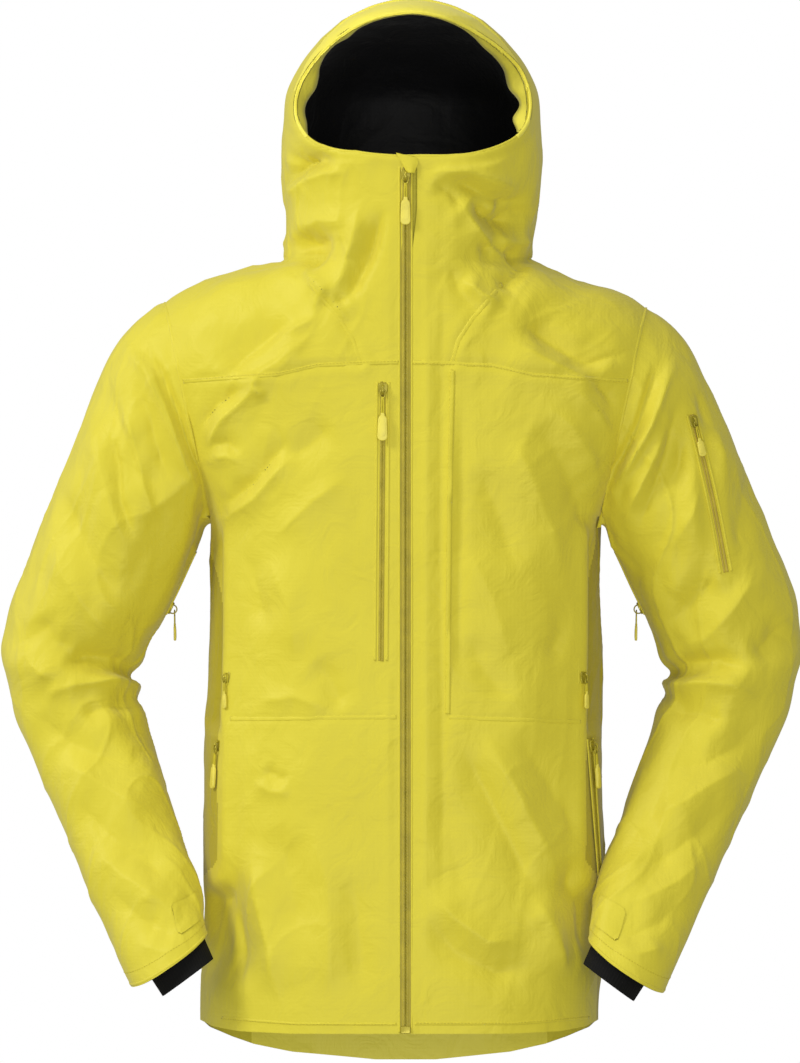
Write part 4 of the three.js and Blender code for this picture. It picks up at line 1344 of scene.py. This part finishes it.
def make_slider(name, outs_hint):
    """Slider with its bow, and the pull that hangs from it, over their CAD nodes."""
    swing = JOINTS[name + "_pull_swing"]
    pin = from_row(swing["pos_m"])
    across = unit(np.array(swing["axis"], float))
    pull_cad = cad_points(name + "_pull")
    along = pull_cad.mean(0) - pin
    along = unit(along - across * (along @ across))
    out = unit(np.cross(along, across))
    if out @ outs_hint < 0:
        out = -out
    slider_cad = cad_points(name + "_slider")
    slide = unit(np.array(JOINTS[name + "_slide"]["axis"], float))
    if slide @ along < 0:
        slide = -slide
    s_out = unit(np.cross(slide, across))
    if s_out @ outs_hint < 0:
        s_out = -s_out
    s_across = unit(np.cross(s_out, slide))
    local = slider_cad - pin
    t_low, t_high = (local @ slide).min(), (local @ slide).max()
    n_low, n_high = (local @ s_out).min(), (local @ s_out).max()
    half = np.abs((local - local.mean(0)) @ s_across).max()
    length = t_high - t_low
    shape = [
        (-half * 0.78, 0), (half * 0.78, 0), (half, length * 0.16), (half * 0.96, length * 0.55),
        (half * 0.62, length), (-half * 0.62, length), (-half * 0.96, length * 0.55), (-half, length * 0.16),
    ]  # fmt: skip
    base = pin + slide * t_low + s_out * (n_low + 1.2)
    parts = [rounded_block(name + "_plate", base, (s_across, s_out, slide), shape, 2.2, 0.6, SLIDER)]
    # the arched bow above the plate
    t = np.linspace(0, 1, 15)[:, None]
    start, stop = t_low + 0.14 * length, t_low + 0.9 * length
    lift = n_high - n_low - 2.0
    arch = pin + slide * (start + (stop - start) * t) + s_out * (n_low + 2.0 + lift * np.sin(math.pi * t) ** 0.45)
    parts.append(sweep(name + "_bow", arch, np.tile(s_out, (15, 1)), oval(2.6, 1.3), SLIDER))
    slider = join(name + "_slider_body", parts)
    finish_piece(slider, name + "_slider", "zip_metal", name + "_slider")

    reach = ((pull_cad - pin) @ along).max()
    big = reach > 40
    tab_length = 25 if reach > 46 else 22 if reach > 38 else 16 if reach > 32 else 15
    tab_width = 10.4 if reach > 46 else 9.2 if reach > 38 else 8.2 if reach > 32 else 6.2
    tab_start = reach - tab_length
    pieces = []
    # a metal loop round the bow
    turn = np.linspace(0, 2 * math.pi, 29)
    loop_long, loop_wide = 8.0 if big else 6.0, 5.6 if big else 4.4
    loop_down = (loop_long / 2 - 0.8 + loop_long / 2 * -np.cos(turn))[:, None]
    loop = pin + along * loop_down + across * (loop_wide / 2 * np.sin(turn))[:, None]
    pieces.append(tube(name + "_ring", loop, 0.75 if big else 0.6, SLIDER, 8))
    # a doubled cord from the loop to the tab
    for side in (-1, 1):
        k = np.linspace(0, 1, 14)[:, None]
        spread = 1.0 * side * (0.35 + 0.65 * (1 - np.abs(2 * k - 1) ** 2))
        line = pin + along * (loop_long - 1.6 + (tab_start + 3 - loop_long + 1.6) * k) + across * spread
        pieces.append(tube(name + "_cord", line, 0.95 if big else 0.75, CORD, 8))
    outline = rounded_outline(tab_width, tab_length, tab_width * 0.42, 0.16)
    axes = (across, out, along)
    tab = rounded_block(name + "_tab", pin + along * tab_start, axes, outline, 3.0 if big else 2.4, 0.9, PULL)
    neck = rounded_outline(tab_width * 0.5, 5, 1.0, 0.3)
    place = pin + along * (tab_start - 2.6)
    neck_block = rounded_block(name + "_neck", place, axes, neck, 2.7 if big else 2.1, 0.7, PULL)
    grip = rounded_outline(tab_width * 0.62, tab_length * 0.6, tab_width * 0.26, 0.16)
    place = pin + along * (tab_start + tab_length * 0.22) + out * (1.35 if big else 1.05)
    grip_block = rounded_block(name + "_grip", place, axes, grip, 0.8, 0.25, PULL)
    pieces += [tab, neck_block, grip_block]
    pull = join(name + "_pull_tab", pieces)
    finish_piece(pull, name + "_pull", "pull_plastic", name + "_pull")


def main_zip():
    z = np.linspace(894, 32, 420)
    x = np.zeros_like(z)
    path = np.stack([x, -front_depth(z), z], 1)
    outs = np.tile((0, -1, -0.03), (len(z), 1))
    outs = unit(outs)
    for side, word in ((-1, "right"), (1, "left")):
        shell_edge = [(side * 0.25, -0.9), (side * 7.4, -0.9), (side * 7.4, -0.3), (side * 0.25, -0.3)]
        parts = [sweep("tape", path, outs, shell_edge, TAPE)]
        # frames_along turns its across direction to the wearer's right for a path that runs down
        track = path + np.array((side * 2.0, 0, 0))
        parts.append(sweep("track", track, outs, oval(2.9, 1.5, -0.2), TAPE))
        spots, normals = resample_path(path, outs, 1.5)
        a, x_dir, o = frames_along(spots, normals)
        places = spots + np.array((side * 1.15, 0, 0)) + (0.38 * side) * a + 0.35 * o
        parts.append(beads("coil", places, x_dir, o, a, (1.45, 0.6, 0.45), COIL))
        edge = path + np.array((side * 5.0, -0.1, 0))
        parts.append(sweep("edge", edge, outs, oval(0.9, 0.7), COIL))
        edge = path + np.array((side * 6.2, 0.2, 0))
        parts.append(sweep("lip", edge, outs, oval(1.9, 1.9), SHELL))
        piece = join("main_zip_strip_" + word, parts)
        finish_piece(piece, "jacket", "zip_tape", "main_zip_" + word)
    make_slider("main_zip", np.array((0, -1, 0)))
    box_low, box_high = (from_row(v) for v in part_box("main_zip_box"))
    middle = (box_low + box_high) / 2
    axes = (np.array((1.0, 0, 0)), np.array((0, -1.0, 0)), np.array((0, 0, -1.0)))
    height = box_high[2] - box_low[2]
    outline = rounded_outline(box_high[0] - box_low[0], height, 1.4)
    top = middle + (0, 0, height / 2)
    block = rounded_block("zip_box", top, axes, outline, box_high[1] - box_low[1], 0.7, SLIDER)
    finish_piece(block, "jacket", "zip_metal", "main_zip_box")


main_zip()
path, outs = front_path(*CHEST_ZIP)
make_strip("chest_zip", path, outs, "jacket", width=10.4, coil=TAPE)
make_slider("chest_zip", outs[0])
path, outs = sleeve_path(*ARM_ZIP, "left")
make_strip("arm_zip", path, outs, "upper_arm_left", width=10.0, teeth=False, film=OCHRE)
make_slider("arm_zip", outs[0])
for side, word in ((-1, "right"), (1, "left")):
    for name, line in (("hand_zip", HAND_ZIP), ("side_zip", SIDE_ZIP)):
        path, outs = front_path(*(np.array(line) * (side, 1)))
        make_strip(f"{name}_{word}", path, outs, "jacket", width=9.6)
        make_slider(f"{name}_{word}", outs[0])
    path, outs = sleeve_path(*PIT_ZIP, word)
    strip = make_strip(f"pit_zip_{word}", path, outs, None, width=9.6)
    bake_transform(strip)
    make_slider(f"pit_zip_{word}", outs[-1])

# ---- edges, seams and stitches ----

RENDERED = BVHTree.FromPolygons(points.tolist(), body_faces.tolist())


def on_cloth(line, pitch=2.0, back=False):
    """Points of a line of (x, z) laid on the finished cloth of the body, and their normals."""
    line = np.array(line, float)
    steps = distances(line)
    at = np.arange(0, steps[-1], pitch)
    flat = columns_at(at, steps, line)
    inward = -1 if back else 1
    spots, outs = [], []
    for x, z in flat:
        hit, normal, _, _ = RENDERED.ray_cast(Vector((x, -400 * inward, z)), Vector((0, inward, 0)))
        if hit is None or (hit.y > 0) != back:
            continue
        normal = np.array(normal)
        spots.append(np.array(hit))
        outs.append(-normal if (normal[1] > 0) != back else normal)
    spots, outs = np.array(spots), np.array(outs)
    kernel = np.ones(5) / 5
    for table in (spots, outs):
        padded = np.pad(table, ((2, 2), (0, 0)), mode="edge")
        for k in range(3):
            table[:, k] = np.convolve(padded[:, k], kernel, mode="valid")
    return spots, unit(outs)


def seam(name, line, body="jacket", back=False, width=4.5, stitches=True, blend=False, lift=0.0):
    """A lapped seam: a low welt with a sharp edge, and a row of stitches beside it."""
    spots, outs = on_cloth(line, back=back)
    if len(spots) < 4:
        return
    profile = np.array([(-0.5, -0.5), (0.5, -0.5), (0.5, 0.1), (0.1, 0.42), (-0.38, 0.5), (-0.5, 0.2)]) * (width, 1)
    parts = [sweep(name, spots + lift * outs, outs, profile, SHELL)]
    if stitches:
        p, o = resample_path(spots, outs, 3.4)
        a, x, o = frames_along(p, o)
        parts.append(beads(name + "_thread", p + 0.5 * o - 0.22 * width * x, a, o, x, (1.2, 0.3, 0.34), THREAD))
    piece = join(name, parts)
    if blend:
        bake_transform(piece)
    else:
        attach(piece, body)


for side, word in ((-1, "right"), (1, "left")):
    s = (side, 1)
    seam(f"yoke_seam_{word}", [(6 * side, 699), *(YOKE_SEAM[:3] * s), (226 * side, 680)])
    seam(f"neck_seam_{word}", NECK_SEAM[:4] * s, stitches=False)
    seam(f"back_yoke_seam_{word}", [(0, 690), (220 * side, 690)], back=True)
    seam(f"back_side_seam_{word}", [(BACK_SEAM_X * side, 530), (BACK_SEAM_X * side, 30)], back=True)
seam("waist_seam_right", [(-176, 344), (-8, 346)], stitches=False)
seam("waist_seam_left", [(42, 346), (176, 341)], stitches=False)
seam("chest_welt_left", [(47, 692), (44, 560), (42, 347)], width=5, lift=0.3)
seam("front_hem_right", [(-184, 46), (-110, 41), (-7, 41)], width=3)
seam("front_hem_left", [(184, 46), (110, 41), (7, 41)], width=3)
seam("back_hem", [(-165, 34), (-110, 20), (0, 12), (110, 20), (165, 34)], back=True, width=3)


def opening_spot(angle, inset):
    """The x and z of points beside the opening's edge; an inset above 0 lies outside it."""
    radius = opening_radius(angle) + inset
    return OPENING_MIDDLE[0] + radius * np.sin(angle), OPENING_MIDDLE[1] + radius * np.cos(angle)


def opening_edge(name, inset, shape, material, lift, first, last):
    """A run along the edge of the hood's opening, inset from it, from an angle to another."""
    angle = np.linspace(first, last, 320)
    here, outs = front_frame(*opening_spot(angle, inset))
    return sweep(name, here + lift * outs, outs, shape, material)


# The bound edge of the opening: the brim's part, which moves with the hood, is of the lighter copy of the shell
# cloth, a painted highlight; the chin's part is of the shell cloth.
BRIM_TURN = 1.95  # The bound edge of the opening: the brim's part, which moves with the hood, is of the lighter copy of the shell cloth, a painted highlight; the chin's part is of the shell cloth.
edge = opening_edge("brim_binding", 1.6, oval(4.4, 3.6), LIT_SHELL, 0.6, -BRIM_TURN, BRIM_TURN)
finish_piece(edge, "hood", "brim_cloth")
edge = opening_edge("chin_binding", 1.3, oval(3.4, 2.8), SHELL, 0.2, BRIM_TURN, 2 * math.pi - BRIM_TURN)
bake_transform(edge)


def brim_seam():
    """The brim's back edge over the hood, and its two short ends beside the opening."""
    z = np.concatenate([np.arange(BRIM_END_Z + 1, 1040, 3), 1061 - 21 * np.linspace(1, 0, 14) ** 2])
    half, front, back, square, shift = body_shape(z)
    across = np.maximum(1 - np.minimum(BRIM_BACK / np.maximum(front, 1e-6), 1) ** square, 0) ** (1 / square) * half
    keep = across > 6
    level = np.full(keep.sum(), -float(BRIM_BACK))
    side = [np.stack([shift[keep] + s * across[keep], level, z[keep]], 1) for s in (-1, 1)]
    path = np.concatenate([side[0], side[1][::-1]])
    path, outs = resample_path(path, unit(path - (7, 20, 960)), 4.0)
    # the brim's seam and ends take the lighter copy of the shell cloth: painted highlight
    parts = [sweep("brim_seam", path + 0.5 * outs, outs, oval(4.4, 1.8), LIT_SHELL)]
    p, o = resample_path(path, outs, 3.2)
    a, x, o = frames_along(p, o)
    parts.append(beads("brim_thread", p + 1.3 * o + 1.2 * x, a, o, x, (1.1, 0.3, 0.34), THREAD))
    for side in (-1, 1):
        ring = body_ring(BRIM_END_Z + 1, 600)
        chosen = ring[(ring[:, 1] < -BRIM_BACK) & (side * (ring[:, 0] - 7) > 0) & (opening_field(ring) < 0)]
        chosen = chosen[np.argsort(chosen[:, 1])]
        outs = unit(chosen - (7, 0, BRIM_END_Z + 1))
        parts.append(sweep("brim_end", chosen + 0.4 * outs, outs, oval(3.6, 1.5), LIT_SHELL))
    finish_piece(join("brim_seam", parts), "hood", "brim_cloth")


brim_seam()


# The facing's width in millimetres at each angle from the opening's top, in degrees.
FACING = np.array([
    (-110, 0), (-107, 4), (-104, 7), (-96, 7.5), (-91, 11), (-86, 16), (-78, 12), (-74, 7), (-66, 2.5), (-56, 1.2),
    (-48, 4), (-40, 1), (-30, 0.6), (20, 0.6), (38, 1.5), (48, 4), (56, 8), (64, 8.5), (73, 12), (80, 16), (86, 18),
    (90, 12), (94, 7), (98, 11), (103, 16), (106, 9), (109, 0),
])  # fmt: skip


def hood_facing():
    """The yellow facing inside the opening, drawn up in scallops by its elastic cord."""
    angle = np.radians(np.linspace(FACING[0, 0], FACING[-1, 0], 500))
    width = blurred(np.interp(np.degrees(angle), FACING[:, 0], FACING[:, 1]), 12, 5)
    rows = []
    slack = 4 * (1 - smooth(width, 0, 4))
    for share, depth in ((0.0, 1.2), (0.35, 6), (0.7, 12), (1.0, 19), (0.7, 25)):
        x, z = opening_spot(angle, 3.5 * (1 - share) - width * share)
        y = front_point(*opening_spot(angle, 0))[:, 1] + depth + slack + 1.2 * np.sin(angle * 19) * share
        rows.append(np.stack([x, y, z], 1))
    grid = np.stack(rows)
    normals = unit(np.cross(np.gradient(grid, axis=1), np.gradient(grid, axis=0)))
    middle = np.array((7, 0, 965))
    if (normals * (middle - grid)).sum() < 0:
        normals = -normals
    faces = sheet_faces(*grid.shape[:2])
    # both faces of the facing take the lighter copy of the shell cloth: painted highlight
    piece = skin("hood_facing", grid, normals, faces, 0.9, [LIT_SHELL, LIT_SHELL])
    finish_piece(piece, "hood", "brim_cloth")


hood_facing()

# ---- linings and what is inside ----

behind_edge = opening_field(centres) < -9
inside_hood = body_faces[np.isin(regions, ("hood_crown", "hood_brim")) & behind_edge]
puckers = 0.5 * waves(points, 77, 20, 60, 20) + 2.6 * creases(points, 79, 120, 50, (1, 1, 2.4), 3)
lined = points - normals * (3.4 + puckers)[:, None]
piece = skin("hood_lining_cloth", lined, normals, inside_hood, 0.9, [LINING, LINING])
finish_piece(piece, "hood", "lining", "hood_lining")


def open_sheet(name, grid, thickness, material, back, slot, node):
    """Cloth over an open grid of points, which faces the front, with another material on its back."""
    normals = unit(np.cross(np.gradient(grid, axis=1), np.gradient(grid, axis=0)))
    if normals[..., 1].sum() > 0:
        normals = -normals
    piece = skin(name, grid, normals, sheet_faces(*grid.shape[:2]), thickness, [material, back])
    finish_piece(piece, "jacket", slot, node)


def front_sheet(left, right, bottom, top, depth, seed, wave=1.0):
    """A grid that follows the front's cloth at a depth behind it."""
    x, z = np.meshgrid(np.linspace(left, right, 40), np.linspace(bottom, top, max(20, int((top - bottom) / 4))))
    grid = front_point(x, z)
    ripple = waves(grid.reshape(-1, 3), seed, 16, 90, 30).reshape(x.shape)
    edge = np.minimum(smooth(x, left, left + 12), smooth(x, right, right - 12))
    edge = np.minimum(edge, np.minimum(smooth(z, bottom, bottom + 12), smooth(z, top, top - 12)))
    grid[..., 1] += depth + wave * ripple * edge
    return grid


sheet = front_sheet(-13, 23, 50, 897, 5.5, 5, 0.5)
open_sheet("wind_flap_cloth", sheet, 1.4, SHELL, LINING, "lining", "wind_flap")
sheet = front_sheet(-125, -34, 505, 650, 13.0, 6)
open_sheet("chest_bag_cloth", sheet, 1.0, LINING, LINING, "lining", "chest_pocket_bag")
for side, word in ((-1, "right"), (1, "left")):
    left, right = sorted((70 * side, 168 * side))
    sheet = front_sheet(left, right, 180, 326, 22.0, 7 + side)
    open_sheet(f"hand_bag_{word}_cloth", sheet, 1.0, LINING, LINING, "lining", f"hand_pocket_bag_{word}")


def powder_skirt():
    """The elasticated skirt inside the waist, gathered at its lower edge."""
    heights = np.linspace(262, 150, 30)
    rings = []
    for k, z in enumerate(heights):
        share = k / (len(heights) - 1)
        ring = body_ring(z, 420)[:-1]
        middle = np.array((0, (ring[:, 1].max() + ring[:, 1].min()) / 2, z))
        turn = np.linspace(0, 2 * math.pi, len(ring), endpoint=False)
        gather = share * (1.6 * np.sin(turn * 46) + 1.0 * np.sin(turn * 71 + 1))
        inset = 8.5 + 12 * share + gather
        ring[:, :2] -= unit(ring - middle)[:, :2] * inset[:, None]
        ring[:, 0] *= 0.955
        rings.append(ring)
    grid = np.stack(rings)
    normals = unit(np.cross(np.roll(grid, -1, 1) - np.roll(grid, 1, 1), -np.gradient(grid, axis=0)))
    faces = grid_faces(*grid.shape[:2])
    piece = skin("powder_skirt_cloth", grid, normals, faces, 1.0, [LINING, LINING])
    finish_piece(piece, "jacket", "lining", "powder_skirt")


powder_skirt()

# ---- cuffs ----

GAITER_SLICES = np.array([
    (208, 176, 284, 144, -70, 39), (202, 140, 262, 100, -92, 34), (187, 106, 240, 67, -108, 31),
])  # fmt: skip


def gaiter(side, word):
    count, around = 40, 180
    t = np.linspace(0.15, 2.0, count)
    s = columns_at(t, (0, 1, 2), GAITER_SLICES)[:, None, :]
    angle = circle(around)[None]
    rib = 0.96 - 0.012 * (1 + np.cos(angle * 60)) - 0.05 * smooth(t, 1.2, 0)[:, None]
    across = np.cos(angle) * rib
    shift = 11.5 if side > 0 else 3
    grid = slice_rings(s, across, rib * np.sin(angle)) * (side, 1, 1) - (shift, 0, 0)
    if side > 0:
        grid[..., 2] -= 5
    normals = closed_normals(grid, side)
    piece = skin(f"gaiter_{word}_knit", grid, normals, grid_faces(count, around), 1.3, [GAITER, GAITER])
    finish_piece(piece, f"forearm_{word}", "gaiter_knit", f"gaiter_{word}")


def cuff_tab(side, word):
    """The cuff's closing tab, which lies on the sleeve's inner front."""
    numbers, turns = np.linspace(15.05, 15.6, 26), np.linspace(202.5, 247.5, 34)
    sheet, out = on_sleeve(word, numbers[:, None], turns[None])
    v, u = np.meshgrid(np.linspace(-1, 1, 26), np.linspace(-1, 1, 34), indexing="ij")
    puff = 1.15 + 0.2 * (1 - np.abs(u) ** 4) * (1 - np.abs(v) ** 4)
    lifted = sheet + puff[..., None] * out
    faces = sheet_faces(*lifted.shape[:2])
    corner = (np.abs(u) > 0.88) & (np.abs(v) > 0.86)
    lifted[corner] = lifted[corner] * 0.93 + lifted.reshape(-1, 3).mean(0) * 0.07
    piece = skin(f"cuff_tab_{word}_cloth", lifted, out, faces, 1.1, [SHELL, SHELL])
    finish_piece(piece, f"cuff_tab_{word}", "shell_cloth", f"cuff_tab_{word}")


def cuff_edge(side, word):
    """The sleeve's bound end and its row of stitches."""
    n, grid, normals = sleeves[word]
    ring = np.concatenate([grid[-2], grid[-2][:1]])
    outs = np.concatenate([normals[-2], normals[-2][:1]])
    parts = [sweep("cuff", ring - 0.5 * outs, outs, oval(3.2, 2.0), SHELL)]
    row = np.concatenate([grid[-7], grid[-7][:1]])
    row_outs = np.concatenate([normals[-7], normals[-7][:1]])
    p, o = resample_path(row, row_outs, 3.3)
    a, x, o = frames_along(p, o)
    parts.append(beads("cuff_thread", p + 0.1 * o, a, o, x, (1.1, 0.3, 0.32), THREAD))
    finish_piece(join(f"cuff_edge_{word}", parts), f"forearm_{word}", "shell_cloth")


for side, word in ((-1, "right"), (1, "left")):
    gaiter(side, word)
    cuff_tab(side, word)
    cuff_edge(side, word)
    # the seam round the armhole
    n, grid, normals = sleeves[word]
    ring = np.concatenate([grid[1], grid[1][:1]])
    outs = np.concatenate([normals[1], normals[1][:1]])
    piece = sweep(f"armhole_seam_{word}", ring - 0.3 * outs, outs, oval(4.0, 1.8), SHELL)
    finish_piece(piece, "jacket", "shell_cloth")

# ---- hang loop and chin guard ----

HALF_LOOP = [(0, 0), (13, 0), (15, -1.2), (24.5, -13), (27, -14), (33, -14)]
LOOP_LINE = np.array([(-x, z) for x, z in HALF_LOOP[:0:-1]] + HALF_LOOP, float)


def ribbon_path(line, count=80):
    steps = distances(line)
    at = np.linspace(0, steps[-1], count)
    x, z = columns_at(at, steps, line).T
    path = np.stack([x, np.full(count, LOOP_DEPTH), z + LOOP_Z], 1)
    along = unit(np.gradient(path, axis=0))
    outs = unit(np.cross(along, (0, 1.0, 0)))
    outs *= np.sign(outs[:, 2:])
    return path + 0.8 * outs, outs


path, outs = ribbon_path(LOOP_LINE)
parts = [sweep("loop", path, outs, oval(7, 1.5, power=4), CORD)]
bar = np.stack([np.linspace(-33, 33, 30), np.full(30, LOOP_DEPTH), np.full(30, LOOP_Z - 14.8)], 1)
parts.append(sweep("bar", bar, np.tile((0, 0, 1.0), (30, 1)), oval(7, 1.5, power=4), CORD))
finish_piece(join("hang_loop_ribbon", parts), "jacket", "zip_tape", "hang_loop")

# The folded cloth that the slider parks under, at the chin.
t = np.linspace(0, 1, 22)
u, v = np.meshgrid(np.linspace(-1, 1, 18), t)
left = np.interp(v, (0, 1), (-9.5, 1.5))
right = np.interp(v, (0, 0.35, 1), (11.5, 12.5, 9.0))
x = left + (right - left) * (u + 1) / 2
z = 907.5 - 20 * v - 2.5 * (u + 1) * (1 - v)
y = -front_depth(z) - 2.6 - 1.6 * np.sin(math.pi * (u + 1) / 2) - 1.2 * v
open_sheet("zip_garage_cloth", np.stack([x, y, z], -1), 1.4, SHELL, SHELL, "shell_cloth", "zip_garage")

for name, obj in frame["nodes"].items():
    if not obj.hide_render and not obj.data.materials:
        obj.data.materials.append(SHELL)
